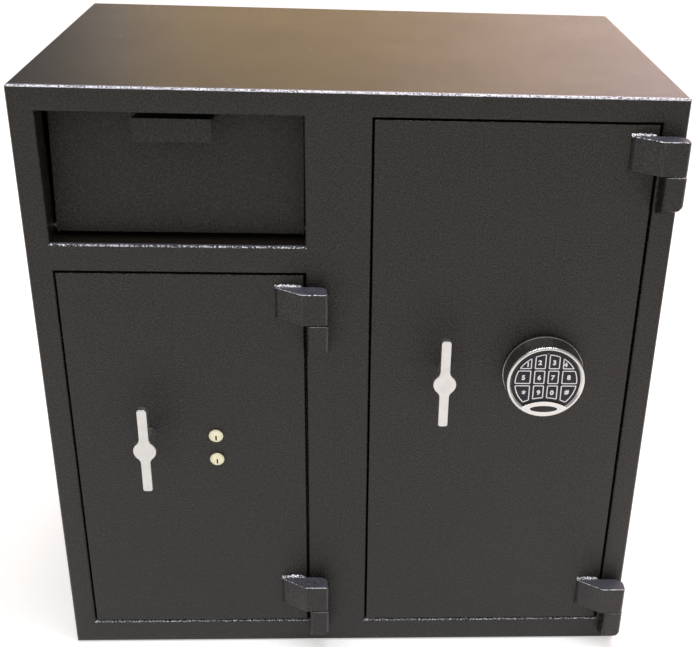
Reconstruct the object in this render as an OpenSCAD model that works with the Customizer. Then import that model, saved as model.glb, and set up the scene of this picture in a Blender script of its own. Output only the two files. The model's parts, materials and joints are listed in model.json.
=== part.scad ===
// Two-door steel depository safe with a tilting deposit drawer.
// Millimetres. The origin is on the floor at the middle of the body, x to the right, y to the back, z up.
// Sizes in y inside the modules are counted from the front face, negative outwards.

/* [Body] */
// Width of the body
body_w = 780; // [760:5:860]
// Height of the body
body_h = 802; // [780:2:860]
// Depth of the body from the front face to the back
body_d = 495; // [440:5:600]
// Thickness of the body sheet
wall = 5; // [3:0.5:6]
// Thickness of the front face plate
face_t = 6; // [5:0.5:8]
// Radius of the body's outer edges
edge_r = 4; // [2:0.5:4.5]
// Thickness of the divider between the compartments
divider_t = 5; // [3:0.5:6]
// Diameter of the anchor holes in the base
anchor_hole_d = 14; // [10:1:18]
// Distance between the anchor holes across the base
anchor_spacing_x = 600; // [500:10:640]
// Distance between the anchor holes from front to back
anchor_spacing_y = 360; // [300:10:380]

/* [Openings] */
// Width of the frame at each side
side_stile = 30; // [28:1:36]
// Width of the frame between the left and right openings
centre_stile = 79; // [74:1:90]
// Width of the two left openings
left_open_w = 303; // [290:1:320]
// Height of the frame above the openings
top_rail = 30; // [25:1:40]
// Height of the frame below the doors
base_rail = 37; // [30:1:45]
// Height of the small door's opening
small_open_h = 540; // [500:5:560]
// Height of the frame between the small door and the drawer
mid_rail = 35; // [28:1:45]
// Thickness of the sheet that lines the openings
return_t = 3; // [2:0.5:4]
// Depth of the lining of the door openings
door_return_d = 25; // [20:1:25]
// Depth of the lining of the drawer opening
drawer_return_d = 32; // [30:1:34]
// Radius of the front edges of the openings
mouth_r = 3; // [1:0.5:4]

/* [Doors] */
// Thickness of the door plates
door_t = 12.7; // [10:0.1:13]
// Gap round a door at its top, bottom and latch side
door_gap = 2; // [1.5:0.5:3]
// Gap between a door and the frame at the hinge side
hinge_gap = 3; // [2:0.5:4]
// Radius of a door plate's front edges
door_r = 1.2; // [0.5:0.1:2]
// Depth of the rear cover from the door's front face
cover_d = 56; // [55:1:60]
// Thickness of the rear cover's sheet
cover_t = 1.5; // [1:0.1:2]

/* [Hinges] */
// Width and depth of a square hinge block
block_w = 26; // [22:1:26]
// Height of a frame's hinge block at its front
block_h = 40.5; // [36:0.5:44]
// Height of a door's hinge leaf above the joint
leaf_h = 43; // [38:0.5:48]
// Drop of a lower block's sloping end from front to back
block_slope = 12; // [6:1:16]
// Radius of a hinge block's front edges
block_r = 4.5; // [2:0.5:5]
// Diameter of the hinge pins
hinge_pin_d = 12; // [8:1:12]
// Length of the hinge pins
hinge_pin_l = 60; // [40:1:64]
// Thickness of the hinge washers
washer_t = 1; // [0.5:0.1:1.5]
// Diameter of the hinge washers
washer_d = 21; // [16:1:22]
// Reach of a door's leaf from the hinge axis
leaf_reach = 53; // [46:1:60]
// Width of the slant at the leaf's end
leaf_end = 3.7; // [0:0.1:5]
// Distance from the hinge axis to the bend of the leaf
leaf_bend = 19; // [16:1:24]
// Thickness of the leaf at its end
leaf_t = 6; // [4:0.5:8]
// Distance from the small door's opening to its hinge axis
small_axis_off = 15; // [14:1:18]
// Distance from the large door's opening to its hinge axis
large_axis_off = 17; // [15:1:17]
// Distance from the small opening's top to the upper hinge's joint
small_joint_top = 59.5; // [50:0.5:80]
// Distance from the small opening's bottom to the lower hinge's joint
small_joint_low = 35; // [28:0.5:60]
// Distance from the large opening's top to the upper hinge's joint
large_joint_top = 57.5; // [50:0.5:80]
// Distance from the large opening's bottom to the lower hinge's joint
large_joint_low = 29; // [18:0.5:60]
// Play between a pin or shaft and its bore
pin_play = 0.05; // [0.02:0.01:0.09]

/* [Boltwork] */
// Diameter of the door bolts
bolt_d = 20; // [16:1:20]
// Length of the door bolts
bolt_l = 40; // [38:1:44]
// Depth of the bolts' centre line behind the front face
bolt_y = 38; // [36:0.5:39]
// Distance of a drawn bolt's tip from the latch side of the opening
bolt_tip = 9; // [8:0.5:11]
// Distance of the end bolts from the ends of the opening
bolt_margin = 90; // [70:5:110]
// Number of bolts on the small door
small_bolts = 3; // [2:1:4]
// Number of bolts on the large door
large_bolts = 4; // [2:1:5]
// Width of the bar that joins the bolts
bar_w = 22; // [18:1:24]
// Thickness of the bar that joins the bolts
bar_t = 10; // [8:1:10]
// Distance of the crank pin from the handle's axis
crank_r = 26; // [24:0.5:27]
// Angle that a handle turns through
handle_turn = 45; // [30:1:45]
// Diameter of the crank pin
crank_pin_d = 8; // [6:0.5:9]
// Radius of the cam disc
cam_r = 32; // [31:0.5:34]
// Thickness of the cam disc
cam_t = 9; // [6:0.5:9]
// Width of the hook of the fixed bar behind the hinge side
dead_hook = 6; // [4:0.5:6]
// Thickness of the fixed bar
dead_t = 6; // [4:0.5:8]

/* [Handles] */
// Length of a handle
handle_l = 120; // [100:1:140]
// Width of a handle's bar
handle_w = 12.2; // [10:0.1:14]
// Thickness of a handle's bar
handle_t = 10; // [8:0.5:12]
// Diameter of a handle's hub
hub_d = 28.8; // [26:0.1:32]
// Radius of the blends between a handle's hub and its bar
blend_r = 10; // [6:0.5:14]
// Distance of a handle's front from the door's face
handle_out = 50; // [44:1:60]
// Diameter of the spindle
spindle_d = 12; // [10:0.5:12]
// Distance of the small handle from the latch side of its opening
small_handle_x = 100; // [92:1:110]
// Height of the small handle above the floor
small_handle_z = 352.7; // [340:0.1:370]
// Distance of the large handle from the latch side of its opening
large_handle_x = 93.4; // [92:0.1:110]
// Height of the large handle above the floor
large_handle_z = 451; // [440:1:480]

/* [Locks] */
// Diameter of a key nose
nose_d = 18.6; // [18:0.1:21]
// Distance that a key nose stands out of the door
nose_out = 3; // [1:0.5:4]
// Diameter of the turning plug in a key nose
plug_d = 15.6; // [13:0.1:16]
// Distance between the two key noses
nose_spacing = 35.7; // [32:0.1:40]
// Distance of the key noses from the latch side of the opening
nose_x = 184; // [176:1:190]
// Drop of the upper key nose below the small handle's axis
nose_drop = 5.1; // [3:0.1:7]
// Width of the keyway
keyway_w = 1.9; // [1.5:0.1:2.5]
// Height of the keyway
keyway_h = 6.6; // [5:0.1:7]
// Width of a lock case
case_w = 60; // [54:1:64]
// Depth of a lock case
case_d = 30; // [28:1:31]
// Height of the key lock's case
key_case_h = 84; // [78:1:100]
// Height of the electronic lock's case
code_case_h = 84; // [74:1:100]
// Width and depth of a lock bolt
lock_bolt_w = 10; // [8:0.5:10]
// Length of a lock bolt
lock_bolt_l = 30; // [24:1:32]
// Play round a lock bolt in its case
lock_play = 0.3; // [0.2:0.05:0.5]

/* [Keypad] */
// Distance of the keypad's centre from half-way between the handle and the hinge side, to the right
pad_shift = 7.8; // [0:0.1:14]
// Height of the keypad's centre above the floor
pad_z = 445; // [438:1:452]
// Diameter of the keypad at its base
pad_base_d = 103.6; // [102:0.1:108]
// Diameter of the keypad at its front
pad_front_d = 100; // [98:0.5:101]
// Width of the sloping shoulder round the keypad's front
shoulder_w = 2.4; // [1:0.1:2.5]
// Depth of the sloping shoulder
shoulder_l = 7; // [4:0.5:9]
// Distance of the keypad's front from the door's face
pad_out = 32; // [31:0.5:36]
// Diameter of the dark face
pad_face_d = 88; // [86:0.5:89]
// Depth of the dark face behind the bezel's front
face_sink = 2.4; // [1:0.1:2.6]
// Thickness of the keypad's base plate
pad_base_t = 5; // [4:0.5:5]
// Radius of the arc below the keys
pad_arc_r = 56; // [50:1:70]
// Distance from the face's centre down to the arc's top
pad_arc_z = 27; // [26.5:0.5:29]
// Radius of the circle that bounds the keys
key_field_r = 40; // [38:0.5:41]
// Width of the middle keys
key_w = 14; // [12:0.5:15]
// Gap between neighbouring keys
key_gap = 3.8; // [2:0.1:4]
// Height of the middle row of keys
key_h = 19.2; // [17:0.1:20]
// Gap between the rows of keys
key_row_gap = 2.1; // [1.5:0.1:3]
// Height of the middle row's centre above the face's centre
key_row_z = 7.4; // [6:0.1:9]
// Height of the keys above the dark face
key_out = 0.8; // [0.5:0.1:1.2]
// Travel of a key
key_travel = 1; // [0.5:0.1:1.2]
// Play round a key
key_play = 0.25; // [0.15:0.05:0.4]
// Length of the battery
battery_l = 48.5; // [44:0.5:50]
// Height of the battery
battery_h = 26.5; // [22:0.5:28]
// Thickness of the battery
battery_t = 17.5; // [12:0.5:18]

/* [Deposit drawer] */
// Angle that the closed panel leans back
drawer_lean = 7.6; // [5:0.1:9]
// Depth of the drawer's axis behind the front face
drawer_axis_y = 40; // [38:0.5:43]
// Height of the drawer's axis above the opening's bottom
drawer_axis_up = 9.5; // [9.5:0.5:12]
// Diameter of the drawer's rod
rod_d = 8; // [6:0.5:8]
// Thickness of the drawer's panel
panel_t = 3; // [2:0.5:3]
// Distance from the axis forward to the panel's rear side
panel_off = 6; // [5:0.5:7]
// Gap between the panel's top and the top of its opening
panel_top_gap = 2.8; // [2:0.1:8]
// Drop of the panel below the axis
panel_drop = 5.5; // [3:0.5:5.5]
// Gap at each side of the panel
panel_gap = 2; // [1.5:0.5:3]
// Drop of the side plates' rim below the panel's top
side_drop = 7.8; // [5:0.1:20]
// Thickness of the side plates and the tray
drawer_sheet = 2; // [1:0.5:2.5]
// Distance from the panel's end in to a side plate
side_inset = 1; // [0.5:0.5:4]
// Angle of the tray below square to the panel
tray_angle = 10; // [5:1:14]
// Distance from the tray's end to the side plates' rim
tray_short = 15; // [8:1:40]
// Width of the pull
pull_w = 92; // [80:1:110]
// Height of the pull's front
pull_h = 27; // [22:1:34]
// Distance of the pull's front from the panel's front
pull_out = 43; // [30:1:44]
// Thickness of the pull's sheet
pull_t = 3; // [2:0.5:4]
// Drop of the pull's top below the panel's top
pull_drop = 9.8; // [6:0.1:20]
// Width of the gap between the chute's floor and its baffle
chute_gap = 91; // [70:1:110]
// Length of the chute's floor
chute_l = 190; // [170:1:200]
// Thickness of the chute's sheet
chute_t = 3; // [2:0.5:4]
// Length of the lip of the chute's baffle
baffle_lip = 36; // [20:1:44]

/* [Hidden] */
$fn = 48;
eps = 0.01;
over = 1;

// Frame and openings, each opening as left, right, bottom and top
left_x = -body_w / 2 + side_stile;
right_x = body_w / 2 - side_stile;
left_end_x = left_x + left_open_w;
large_x = left_end_x + centre_stile;
small_top_z = base_rail + small_open_h;
top_z = body_h - top_rail;
drawer_z = small_top_z + mid_rail;
small_open = [left_x, left_end_x, base_rail, small_top_z];
drawer_open = [left_x, left_end_x, drawer_z, top_z];
large_open = [large_x, right_x, base_rail, top_z];
inner_x = body_w / 2 - wall;
divider_x = (left_end_x + large_x) / 2;

// Hinges
block_out = block_w;
axis_y = -block_w / 2;
face_play = 0.6;
swing_r = block_w / 2 - face_play;
washer_play = 0.1;
small_axis_x = left_end_x + small_axis_off;
large_axis_x = right_x + large_axis_off;
small_joints = [base_rail + small_joint_low, small_top_z - small_joint_top];
large_joints = [base_rail + large_joint_low, top_z - large_joint_top];

// Boltwork, behind the door plate
bar_y = bolt_y - bar_t / 2;
cam_gap = 2;
cam_rear = bar_y - cam_gap;
cam_front = cam_rear - cam_t;
pin_r = crank_pin_d / 2;
pin_side = crank_r * sin(handle_turn / 2);
pin_rise = crank_r * cos(handle_turn / 2);
slot_play = 0.3;
arm_half = 14;
arm_over = 11;
arm_low = pin_rise - arm_over;
arm_top = crank_r + arm_over;
tail_h = 10;
lug_h = 10;
lug_w = 6;
lug_gap = 2;
lug_clear = 3.2;
bar_x = bolt_tip + bolt_l;
guide_x = 15;
guide_t = 5;
guide_foot = 25;
guide_foot_t = 4;
guide_end = 25;
guide_over = 4;
guide_back = bolt_y + bolt_d / 2 + guide_over;
dead_gap = 3;
dead_y = door_return_d + dead_gap;
dead_in = 38;
dead_end = 24;
cover_latch = 11;
cover_gap = 3;
cover_hinge = dead_in + cover_gap;
cover_end = 13;
cover_hole_play = 1.5;
boss_d = 20;
boss_l = 4;

// Locks
key_x = left_x + nose_x;
key_z = small_handle_z - nose_drop;
code_x = (large_x + large_handle_x + right_x) / 2 + pad_shift;
case_back = door_t + case_d;
case_rise = arm_top - tail_h - lug_h - lug_clear;
lock_bolt_set = 2;
lock_bolt_back = bolt_y + lock_bolt_set;
plug_l = 10;

// Keypad, with depths counted outwards from the door's face
lip_t = 3.1;
pad_flange_t = 0.5;
pad_wall = 2;
pad_inner_r = 46.4;
board_t = 1.6;
board_play = 0.3;
pad_fit = 0.1;
lip_back = pad_out - lip_t;
cup_out = lip_back - pad_flange_t;
key_front = pad_out - face_sink + key_out;
key_seat = 0.2;
key_back = cup_out + key_seat;
board_front = key_back - key_travel - board_play;

// Drawer and chute
axis_z = drawer_z + drawer_axis_up;
rod_r = rod_d / 2;
panel_rise = top_z - panel_top_gap - axis_z - (panel_off + panel_t) * sin(drawer_lean);
panel_up = panel_rise / cos(drawer_lean);
side_r = panel_up - side_drop;
tray_l = side_r - tray_short;
pull_up = panel_up - pull_drop;
panel_x = [left_x + panel_gap, left_end_x - panel_gap];
bracket_t = 6;
bracket_d = 18;
bracket_up = 22;
bracket_back = drawer_return_d + bracket_d;
boss_r = 10;
floor_play = 0.5;
apron_gap = 6;
apron_d = drawer_axis_y + boss_r + apron_gap;
tray_gap = 0.3;
pull_mid_x = (left_x + left_end_x) / 2;
chute_slope = drawer_lean + tray_angle;
chute_end_y = drawer_axis_y + chute_l * cos(chute_slope);
baffle_y = chute_end_y + chute_gap;
baffle_drop = 18;
baffle_z = axis_z - baffle_drop;
baffle_lip_angle = 30;

paint = "#2b2a28";
steel = "#8d9094";
zinc = "#b9bab4";
chrome = "#d8dadc";
brass = "#c9ae6a";
plastic = "#1c1b1e";
board_green = "#2d6b45";

// Everything that is placed from the front face
module at_front() {
    translate([0, -body_d / 2, 0])
        children();
}

// Box between its lowest and its highest corner
module span(low, high) {
    translate(low)
        cube(high - low);
}

// Flat outline in x and z made a plate from one depth to another
module plate(front, back) {
    translate([0, back, 0])
        rotate([90, 0, 0])
            linear_extrude(back - front)
                children();
}

// Round bar along y
module bar_round(r, front, back) {
    plate(front, back)
        circle(r);
}

// Round bar along x
module bar_across(r, x0, x1) {
    translate([x0, 0, 0])
        rotate([0, 90, 0])
            cylinder(r = r, h = x1 - x0);
}

// Outline in y and z made a solid from one x to another
module across(x0, x1) {
    translate([x0, 0, 0])
        rotate([90, 0, 90])
            linear_extrude(x1 - x0)
                children();
}

module round_square(w, h, r) {
    translate([-w / 2 + r, 0])
        square([w - 2 * r, h]);
    translate([-w / 2, r])
        square([w, h - 2 * r]);
    for (x = [-w / 2 + r, w / 2 - r], z = [r, h - r])
        translate([x, z])
            circle(r);
}

// Section of a plate whose two front edges are rounded
module soft_section(low, high, t, r) {
    translate([low + r, 0])
        square([high - low - 2 * r, t]);
    translate([low, r])
        square([high - low, t - r]);
    intersection() {
        for (u = [low + r, high - r])
            translate([u, r])
                circle(r);
        translate([low, 0])
            square([high - low, r]);
    }
}

// Section of a hole whose two front edges flare out round the sheet
module flared_section(low, high, depth, r) {
    translate([low, -over])
        square([high - low, depth + 2 * over]);
    difference() {
        translate([low - r, -over])
            square([high - low + 2 * r, r + over]);
        for (u = [low - r, high + r])
            translate([u, r])
                circle(r);
    }
}

// Plate over an opening's size, its four front edges rounded
module soft_plate(o, t, r) {
    intersection() {
        translate([0, 0, o[2]])
            linear_extrude(o[3] - o[2])
                soft_section(o[0], o[1], t, r);
        translate([o[1], 0, 0])
            rotate([0, -90, 0])
                linear_extrude(o[1] - o[0])
                    soft_section(o[2], o[3], t, r);
    }
}

// Hole of an opening's size, its four front edges flared
module flared_hole(o, t, r) {
    reach = r + over;
    intersection() {
        translate([0, 0, o[2] - reach])
            linear_extrude(o[3] - o[2] + 2 * reach)
                flared_section(o[0], o[1], t, r);
        translate([o[1] + reach, 0, 0])
            rotate([0, -90, 0])
                linear_extrude(o[1] - o[0] + 2 * reach)
                    flared_section(o[2], o[3], t, r);
    }
}

// Lining of an opening, from the back of the face plate to its own depth
module return_ring(o, depth) {
    t = return_t;
    difference() {
        span([o[0] - t, face_t, o[2] - t], [o[1] + t, depth, o[3] + t]);
        span([o[0], face_t - over, o[2]], [o[1], depth + over, o[3]]);
    }
}

module body_shell() {
    color(paint)
        difference() {
            at_front()
                plate(face_t, body_d - wall)
                    difference() {
                        round_square(body_w, body_h, edge_r);
                        translate([-inner_x, wall])
                            square([2 * inner_x, body_h - 2 * wall]);
                    }
            for (x = [-1, 1], y = [-1, 1])
                translate([x * anchor_spacing_x / 2, y * anchor_spacing_y / 2, -over])
                    cylinder(d = anchor_hole_d, h = wall + 2 * over);
        }
}

module back_plate() {
    color(paint)
        at_front()
            plate(body_d - wall, body_d)
                round_square(body_w, body_h, edge_r);
}

module front_frame() {
    color(paint)
        at_front()
            difference() {
                intersection() {
                    soft_plate([-body_w / 2, body_w / 2, 0, body_h], face_t, edge_r);
                    plate(-over, face_t + over)
                        round_square(body_w, body_h, edge_r);
                }
                for (o = [small_open, drawer_open, large_open])
                    flared_hole(o, face_t, mouth_r);
            }
}

module frame_returns() {
    color(paint)
        at_front() {
            return_ring(small_open, door_return_d);
            return_ring(large_open, door_return_d);
            return_ring(drawer_open, drawer_return_d);
        }
}

module centre_divider() {
    half = divider_t / 2;
    color(paint)
        at_front()
            span([divider_x - half, face_t, wall], [divider_x + half, body_d - wall, body_h - wall]);
}

// Square hinge block fixed to the frame, its lower end sloping down to the back
module frame_block(axis_x, joint_z) {
    translate([axis_x, 0, joint_z])
        difference() {
            intersection() {
                across(-block_w / 2, block_w / 2)
                    polygon([[-block_out, 0], [-block_out, -block_h], [0, -block_h - block_slope], [0, 0]]);
                translate([0, -block_out, -block_h - block_slope])
                    linear_extrude(block_h + block_slope)
                        soft_section(-block_w / 2, block_w / 2, block_out, block_r);
            }
            translate([0, axis_y, -hinge_pin_l / 2])
                cylinder(d = hinge_pin_d + 2 * pin_play, h = hinge_pin_l);
        }
}

module frame_hinge_blocks() {
    color(paint)
        at_front() {
            for (z = small_joints)
                frame_block(small_axis_x, z);
            for (z = large_joints)
                frame_block(large_axis_x, z);
        }
}

module on_hinge_axes() {
    at_front() {
        for (z = small_joints)
            translate([small_axis_x, axis_y, z])
                children();
        for (z = large_joints)
            translate([large_axis_x, axis_y, z])
                children();
    }
}

module hinge_pins() {
    color(steel)
        on_hinge_axes()
            translate([0, 0, -hinge_pin_l / 2])
                cylinder(d = hinge_pin_d, h = hinge_pin_l);
}

module hinge_washers() {
    color(steel)
        on_hinge_axes()
            difference() {
                cylinder(d = washer_d, h = washer_t);
                translate([0, 0, -over])
                    cylinder(d = hinge_pin_d + 2 * pin_play, h = washer_t + 2 * over);
            }
}

// Outline of the turning block and its leaf round the hinge axis, the front face at y = 0
module leaf_outline(door_edge) {
    side = block_w / 2 - face_play;
    polygon([[-leaf_reach, 0], [-leaf_reach + leaf_end, -leaf_t], [-leaf_bend, -block_out],
        [0, -block_out], [0, -face_play], [door_edge, -face_play], [door_edge, 0]]);
    translate([-eps, -block_out])
        square([side - block_r + eps, block_w / 2]);
    translate([-eps, -block_out + block_r])
        square([side + eps, block_w / 2 - block_r]);
    translate([side - block_r, -block_out + block_r])
        circle(block_r);
    intersection() {
        translate([0, axis_y])
            circle(swing_r);
        translate([-eps, axis_y - eps])
            square([side + eps, block_w / 2]);
    }
}

module door_leaf(axis_x, joint_z, opening_end) {
    low = washer_t + washer_play;
    translate([axis_x, 0, joint_z + low])
        difference() {
            linear_extrude(leaf_h - low)
                leaf_outline(opening_end - hinge_gap - axis_x);
            translate([0, axis_y, -over])
                cylinder(d = hinge_pin_d + 2 * pin_play, h = hinge_pin_l / 2 - low + 2 * over);
        }
}

module small_door_hinge_leaves() {
    color(paint)
        at_front()
            for (z = small_joints)
                door_leaf(small_axis_x, z, left_end_x);
}

module large_door_hinge_leaves() {
    color(paint)
        at_front()
            for (z = large_joints)
                door_leaf(large_axis_x, z, right_x);
}

// Door plate in its opening, with the holes listed as x, z and radius
module door_plate(o, holes) {
    at_front()
        difference() {
            soft_plate([o[0] + door_gap, o[1] - hinge_gap, o[2] + door_gap, o[3] - door_gap], door_t, door_r);
            for (h = holes)
                translate([h[0], 0, h[1]])
                    bar_round(h[2], -over, door_t + over);
        }
}

module small_door_plate() {
    color(paint)
        door_plate(small_open, [
            [left_x + small_handle_x, small_handle_z, spindle_d / 2 + pin_play],
            [key_x, key_z, nose_d / 2],
            [key_x, key_z - nose_spacing, nose_d / 2]]);
}

module large_door_plate() {
    color(paint)
        door_plate(large_open, [
            [large_x + large_handle_x, large_handle_z, spindle_d / 2 + pin_play]]);
}

// Fixed bar that hooks behind the frame at the hinge side
module dead_bar(o) {
    low = o[2] + dead_end;
    high = o[3] - dead_end;
    inner = o[1] - dead_in;
    at_front()
        union() {
            span([inner, door_t, low], [inner + dead_t, dead_y + dead_t, high]);
            span([inner, dead_y, low], [o[1] + dead_hook, dead_y + dead_t, high]);
        }
}

module small_door_dead_bar() {
    color(paint)
        dead_bar(small_open);
}

module large_door_dead_bar() {
    color(paint)
        dead_bar(large_open);
}

function bolt_heights(o, n) =
    let (low = o[2] + bolt_margin, step = (o[3] - o[2] - 2 * bolt_margin) / (n - 1))
    [for (i = [0 : n - 1]) low + i * step];

module bolts(o, n) {
    at_front()
        for (z = bolt_heights(o, n))
            translate([0, bolt_y, z])
                bar_across(bolt_d / 2, o[0] + bolt_tip, o[0] + bar_x);
}

module small_door_bolts() {
    color(steel)
        bolts(small_open, small_bolts);
}

module large_door_bolts() {
    color(steel)
        bolts(large_open, large_bolts);
}

// Angle on the back of the door that the bolts slide through
module bolt_guide(o, n) {
    heights = bolt_heights(o, n);
    low = heights[0] - guide_end;
    high = heights[n - 1] + guide_end;
    x = o[0] + guide_x;
    at_front()
        difference() {
            union() {
                span([x, door_t, low], [x + guide_t, guide_back, high]);
                span([x, door_t, low], [x + guide_foot, door_t + guide_foot_t, high]);
            }
            for (z = heights)
                translate([0, bolt_y, z])
                    bar_across(bolt_d / 2 + pin_play, x - over, x + guide_t + over);
        }
}

module small_door_bolt_guide() {
    color(steel)
        bolt_guide(small_open, small_bolts);
}

module large_door_bolt_guide() {
    color(steel)
        bolt_guide(large_open, large_bolts);
}

// Bar that joins the bolts, with the slot for the crank pin and the lug that the lock bolt stops
module bolt_bar(o, n, handle, lock_x) {
    heights = bolt_heights(o, n);
    left = o[0] + bar_x;
    slot_x = handle[0] + pin_side;
    slot_r = pin_r + slot_play;
    lug_x = lock_x + lock_bolt_w / 2 + lug_gap;
    low = handle[1] + arm_low;
    top = handle[1] + arm_top;
    slot_low = handle[1] + pin_rise;
    slot_top = handle[1] + crank_r;
    at_front()
        translate([0, bar_y, 0])
            difference() {
                union() {
                    span([left, 0, heights[0] - bar_w / 2],
                        [left + bar_w, bar_t, heights[n - 1] + bar_w / 2]);
                    span([left, 0, low], [slot_x + arm_half, bar_t, top]);
                    span([left, 0, top - tail_h], [lug_x + lug_w, bar_t, top]);
                    span([lug_x, 0, top - tail_h - lug_h], [lug_x + lug_w, bar_t, top]);
                }
                for (z = [slot_low, slot_top])
                    translate([slot_x, 0, z])
                        bar_round(slot_r, -over, bar_t + over);
                span([slot_x - slot_r, -over, slot_low], [slot_x + slot_r, bar_t + over, slot_top]);
            }
}

module small_door_bolt_bar() {
    color(steel)
        bolt_bar(small_open, small_bolts, [left_x + small_handle_x, small_handle_z], key_x);
}

module large_door_bolt_bar() {
    color(steel)
        bolt_bar(large_open, large_bolts, [large_x + large_handle_x, large_handle_z], code_x);
}

// Handle with concave blends between its round hub and its flat bar
module handle_outline() {
    hub_r = hub_d / 2;
    half = handle_w / 2;
    blend_x = half + blend_r;
    blend_z = sqrt(pow(hub_r + blend_r, 2) - pow(blend_x, 2));
    circle(hub_r);
    translate([-half, -handle_l / 2 + half / 2])
        square([handle_w, handle_l - half]);
    for (s = [-1, 1], t = [-1, 1])
        translate([s * half / 2, t * (handle_l / 2 - half / 2)])
            circle(half / 2);
    for (s = [-1, 1])
        translate([0, s * (handle_l / 2 - half / 4)])
            square([half, half / 2], center = true);
    for (s = [-1, 1], t = [-1, 1])
        difference() {
            polygon([[0, 0], [s * blend_x, t * blend_z], [0, t * blend_z]]);
            translate([s * blend_x, t * blend_z])
                circle(blend_r);
        }
}

module handle(x, z) {
    at_front()
        translate([x, 0, z]) {
            difference() {
                union() {
                    plate(-handle_out, -handle_out + handle_t)
                        handle_outline();
                    bar_round(boss_d / 2, -handle_out + handle_t - over, -handle_out + handle_t + boss_l);
                }
                bar_round(spindle_d / 2, -handle_out + handle_t / 2, 0);
            }
        }
}

module small_door_handle() {
    color(chrome)
        handle(left_x + small_handle_x, small_handle_z);
}

module large_door_handle() {
    color(chrome)
        handle(large_x + large_handle_x, large_handle_z);
}

module spindle(x, z) {
    at_front()
        translate([x, 0, z])
            bar_round(spindle_d / 2, -handle_out + handle_t / 2, cam_rear);
}

module small_door_spindle() {
    color(chrome)
        spindle(left_x + small_handle_x, small_handle_z);
}

module large_door_spindle() {
    color(chrome)
        spindle(large_x + large_handle_x, large_handle_z);
}

// Disc on the spindle with the crank pin that drives the bolt bar
module cam(x, z) {
    at_front()
        translate([x, 0, z])
            difference() {
                union() {
                    bar_round(cam_r, cam_front, cam_rear);
                    translate([pin_side, 0, pin_rise])
                        bar_round(pin_r, cam_rear - over, bar_y + bar_t);
                }
                bar_round(spindle_d / 2, cam_front - over, cam_rear + over);
            }
}

module small_door_cam() {
    color(zinc)
        cam(left_x + small_handle_x, small_handle_z);
}

module large_door_cam() {
    color(zinc)
        cam(large_x + large_handle_x, large_handle_z);
}

// Shallow pan over the boltwork, open towards the door
module door_cover(o, n) {
    low = [o[0] + cover_latch, door_t, o[2] + cover_end];
    high = [o[1] - cover_hinge, cover_d, o[3] - cover_end];
    t = cover_t;
    at_front()
        difference() {
            span(low, high);
            span([low[0] + t, door_t - over, low[2] + t], [high[0] - t, cover_d - t, high[2] - t]);
            for (z = bolt_heights(o, n))
                translate([0, bolt_y, z])
                    bar_across(bolt_d / 2 + cover_hole_play, low[0] - over, low[0] + t + over);
        }
}

module small_door_cover() {
    color(paint)
        door_cover(small_open, small_bolts);
}

module large_door_cover() {
    color(paint)
        door_cover(large_open, large_bolts);
}

// Lock case, open at its top for the bolt
module lock_case(x, top, h) {
    half = lock_bolt_w / 2 + lock_play;
    front = lock_bolt_back - lock_bolt_w - lock_play;
    low = top - lock_bolt_l - lock_play;
    difference() {
        span([x - case_w / 2, door_t, top - h], [x + case_w / 2, case_back, top]);
        span([x - half, front, low], [x + half, lock_bolt_back + lock_play, top + over]);
    }
}

module key_lock_case() {
    color(zinc)
        at_front()
            difference() {
                lock_case(key_x, small_handle_z + case_rise, key_case_h);
                for (drop = [0, nose_spacing])
                    translate([key_x, 0, key_z - drop])
                        bar_round(plug_d / 2 + pin_play, door_t - over, door_t + plug_l);
            }
}

module electronic_lock_case() {
    color(zinc)
        at_front()
            lock_case(code_x, large_handle_z + case_rise, code_case_h);
}

module lock_bolt(x, top) {
    half = lock_bolt_w / 2;
    at_front()
        span([x - half, lock_bolt_back - lock_bolt_w, top - lock_bolt_l], [x + half, lock_bolt_back, top]);
}

module key_lock_bolt() {
    color(brass)
        lock_bolt(key_x, small_handle_z + case_rise);
}

module electronic_lock_bolt() {
    color(brass)
        lock_bolt(code_x, large_handle_z + case_rise);
}

module key_noses() {
    color(brass)
        at_front()
            for (drop = [0, nose_spacing])
                translate([key_x, 0, key_z - drop])
                    difference() {
                        bar_round(nose_d / 2, -nose_out, door_t);
                        bar_round(plug_d / 2 + pin_play, -nose_out - over, door_t + over);
                    }
}

// Turning plug with its keyway below the centre
module key_plug(drop) {
    at_front()
        translate([key_x, 0, key_z - drop])
            difference() {
                bar_round(plug_d / 2, -nose_out, door_t + plug_l - pin_play);
                span([-keyway_w / 2, -nose_out - over, -keyway_h], [keyway_w / 2, door_t, 0]);
            }
}

module guard_key_plug() {
    color(brass)
        key_plug(0);
}

module renter_key_plug() {
    color(brass)
        key_plug(nose_spacing);
}

module at_pad() {
    at_front()
        translate([code_x, 0, pad_z])
            children();
}

// Circle whose top is the arc below the keys
module below_keys(grow) {
    translate([0, -pad_arc_z - pad_arc_r])
        circle(pad_arc_r + grow);
}

// Dark face's outline: a disc with an arc cut out of its bottom
module face_outline() {
    difference() {
        circle(pad_face_d / 2);
        below_keys(0);
    }
}

module keypad_base() {
    color(plastic)
        at_pad()
            difference() {
                union() {
                    bar_round(pad_base_d / 2, -pad_base_t, 0);
                    bar_round(pad_inner_r - pad_fit, -cup_out, -pad_base_t + eps);
                }
                bar_round(pad_inner_r - pad_fit - pad_wall, -cup_out - over, -pad_base_t);
            }
}

// Hole for the dark face: straight beside it, then flaring out to the bezel's front
module bezel_hole() {
    hole_r = pad_face_d / 2 + pad_fit;
    flare = (pad_inner_r - hole_r) / face_sink;
    difference() {
        rotate([90, 0, 0])
            rotate_extrude()
                polygon([[0, lip_back - over], [hole_r, lip_back - over], [hole_r, pad_out - face_sink],
                    [pad_inner_r + flare * over, pad_out + over], [0, pad_out + over]]);
        plate(-pad_out - 2 * over, -lip_back + 2 * over)
            below_keys(-pad_fit);
    }
}

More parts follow.
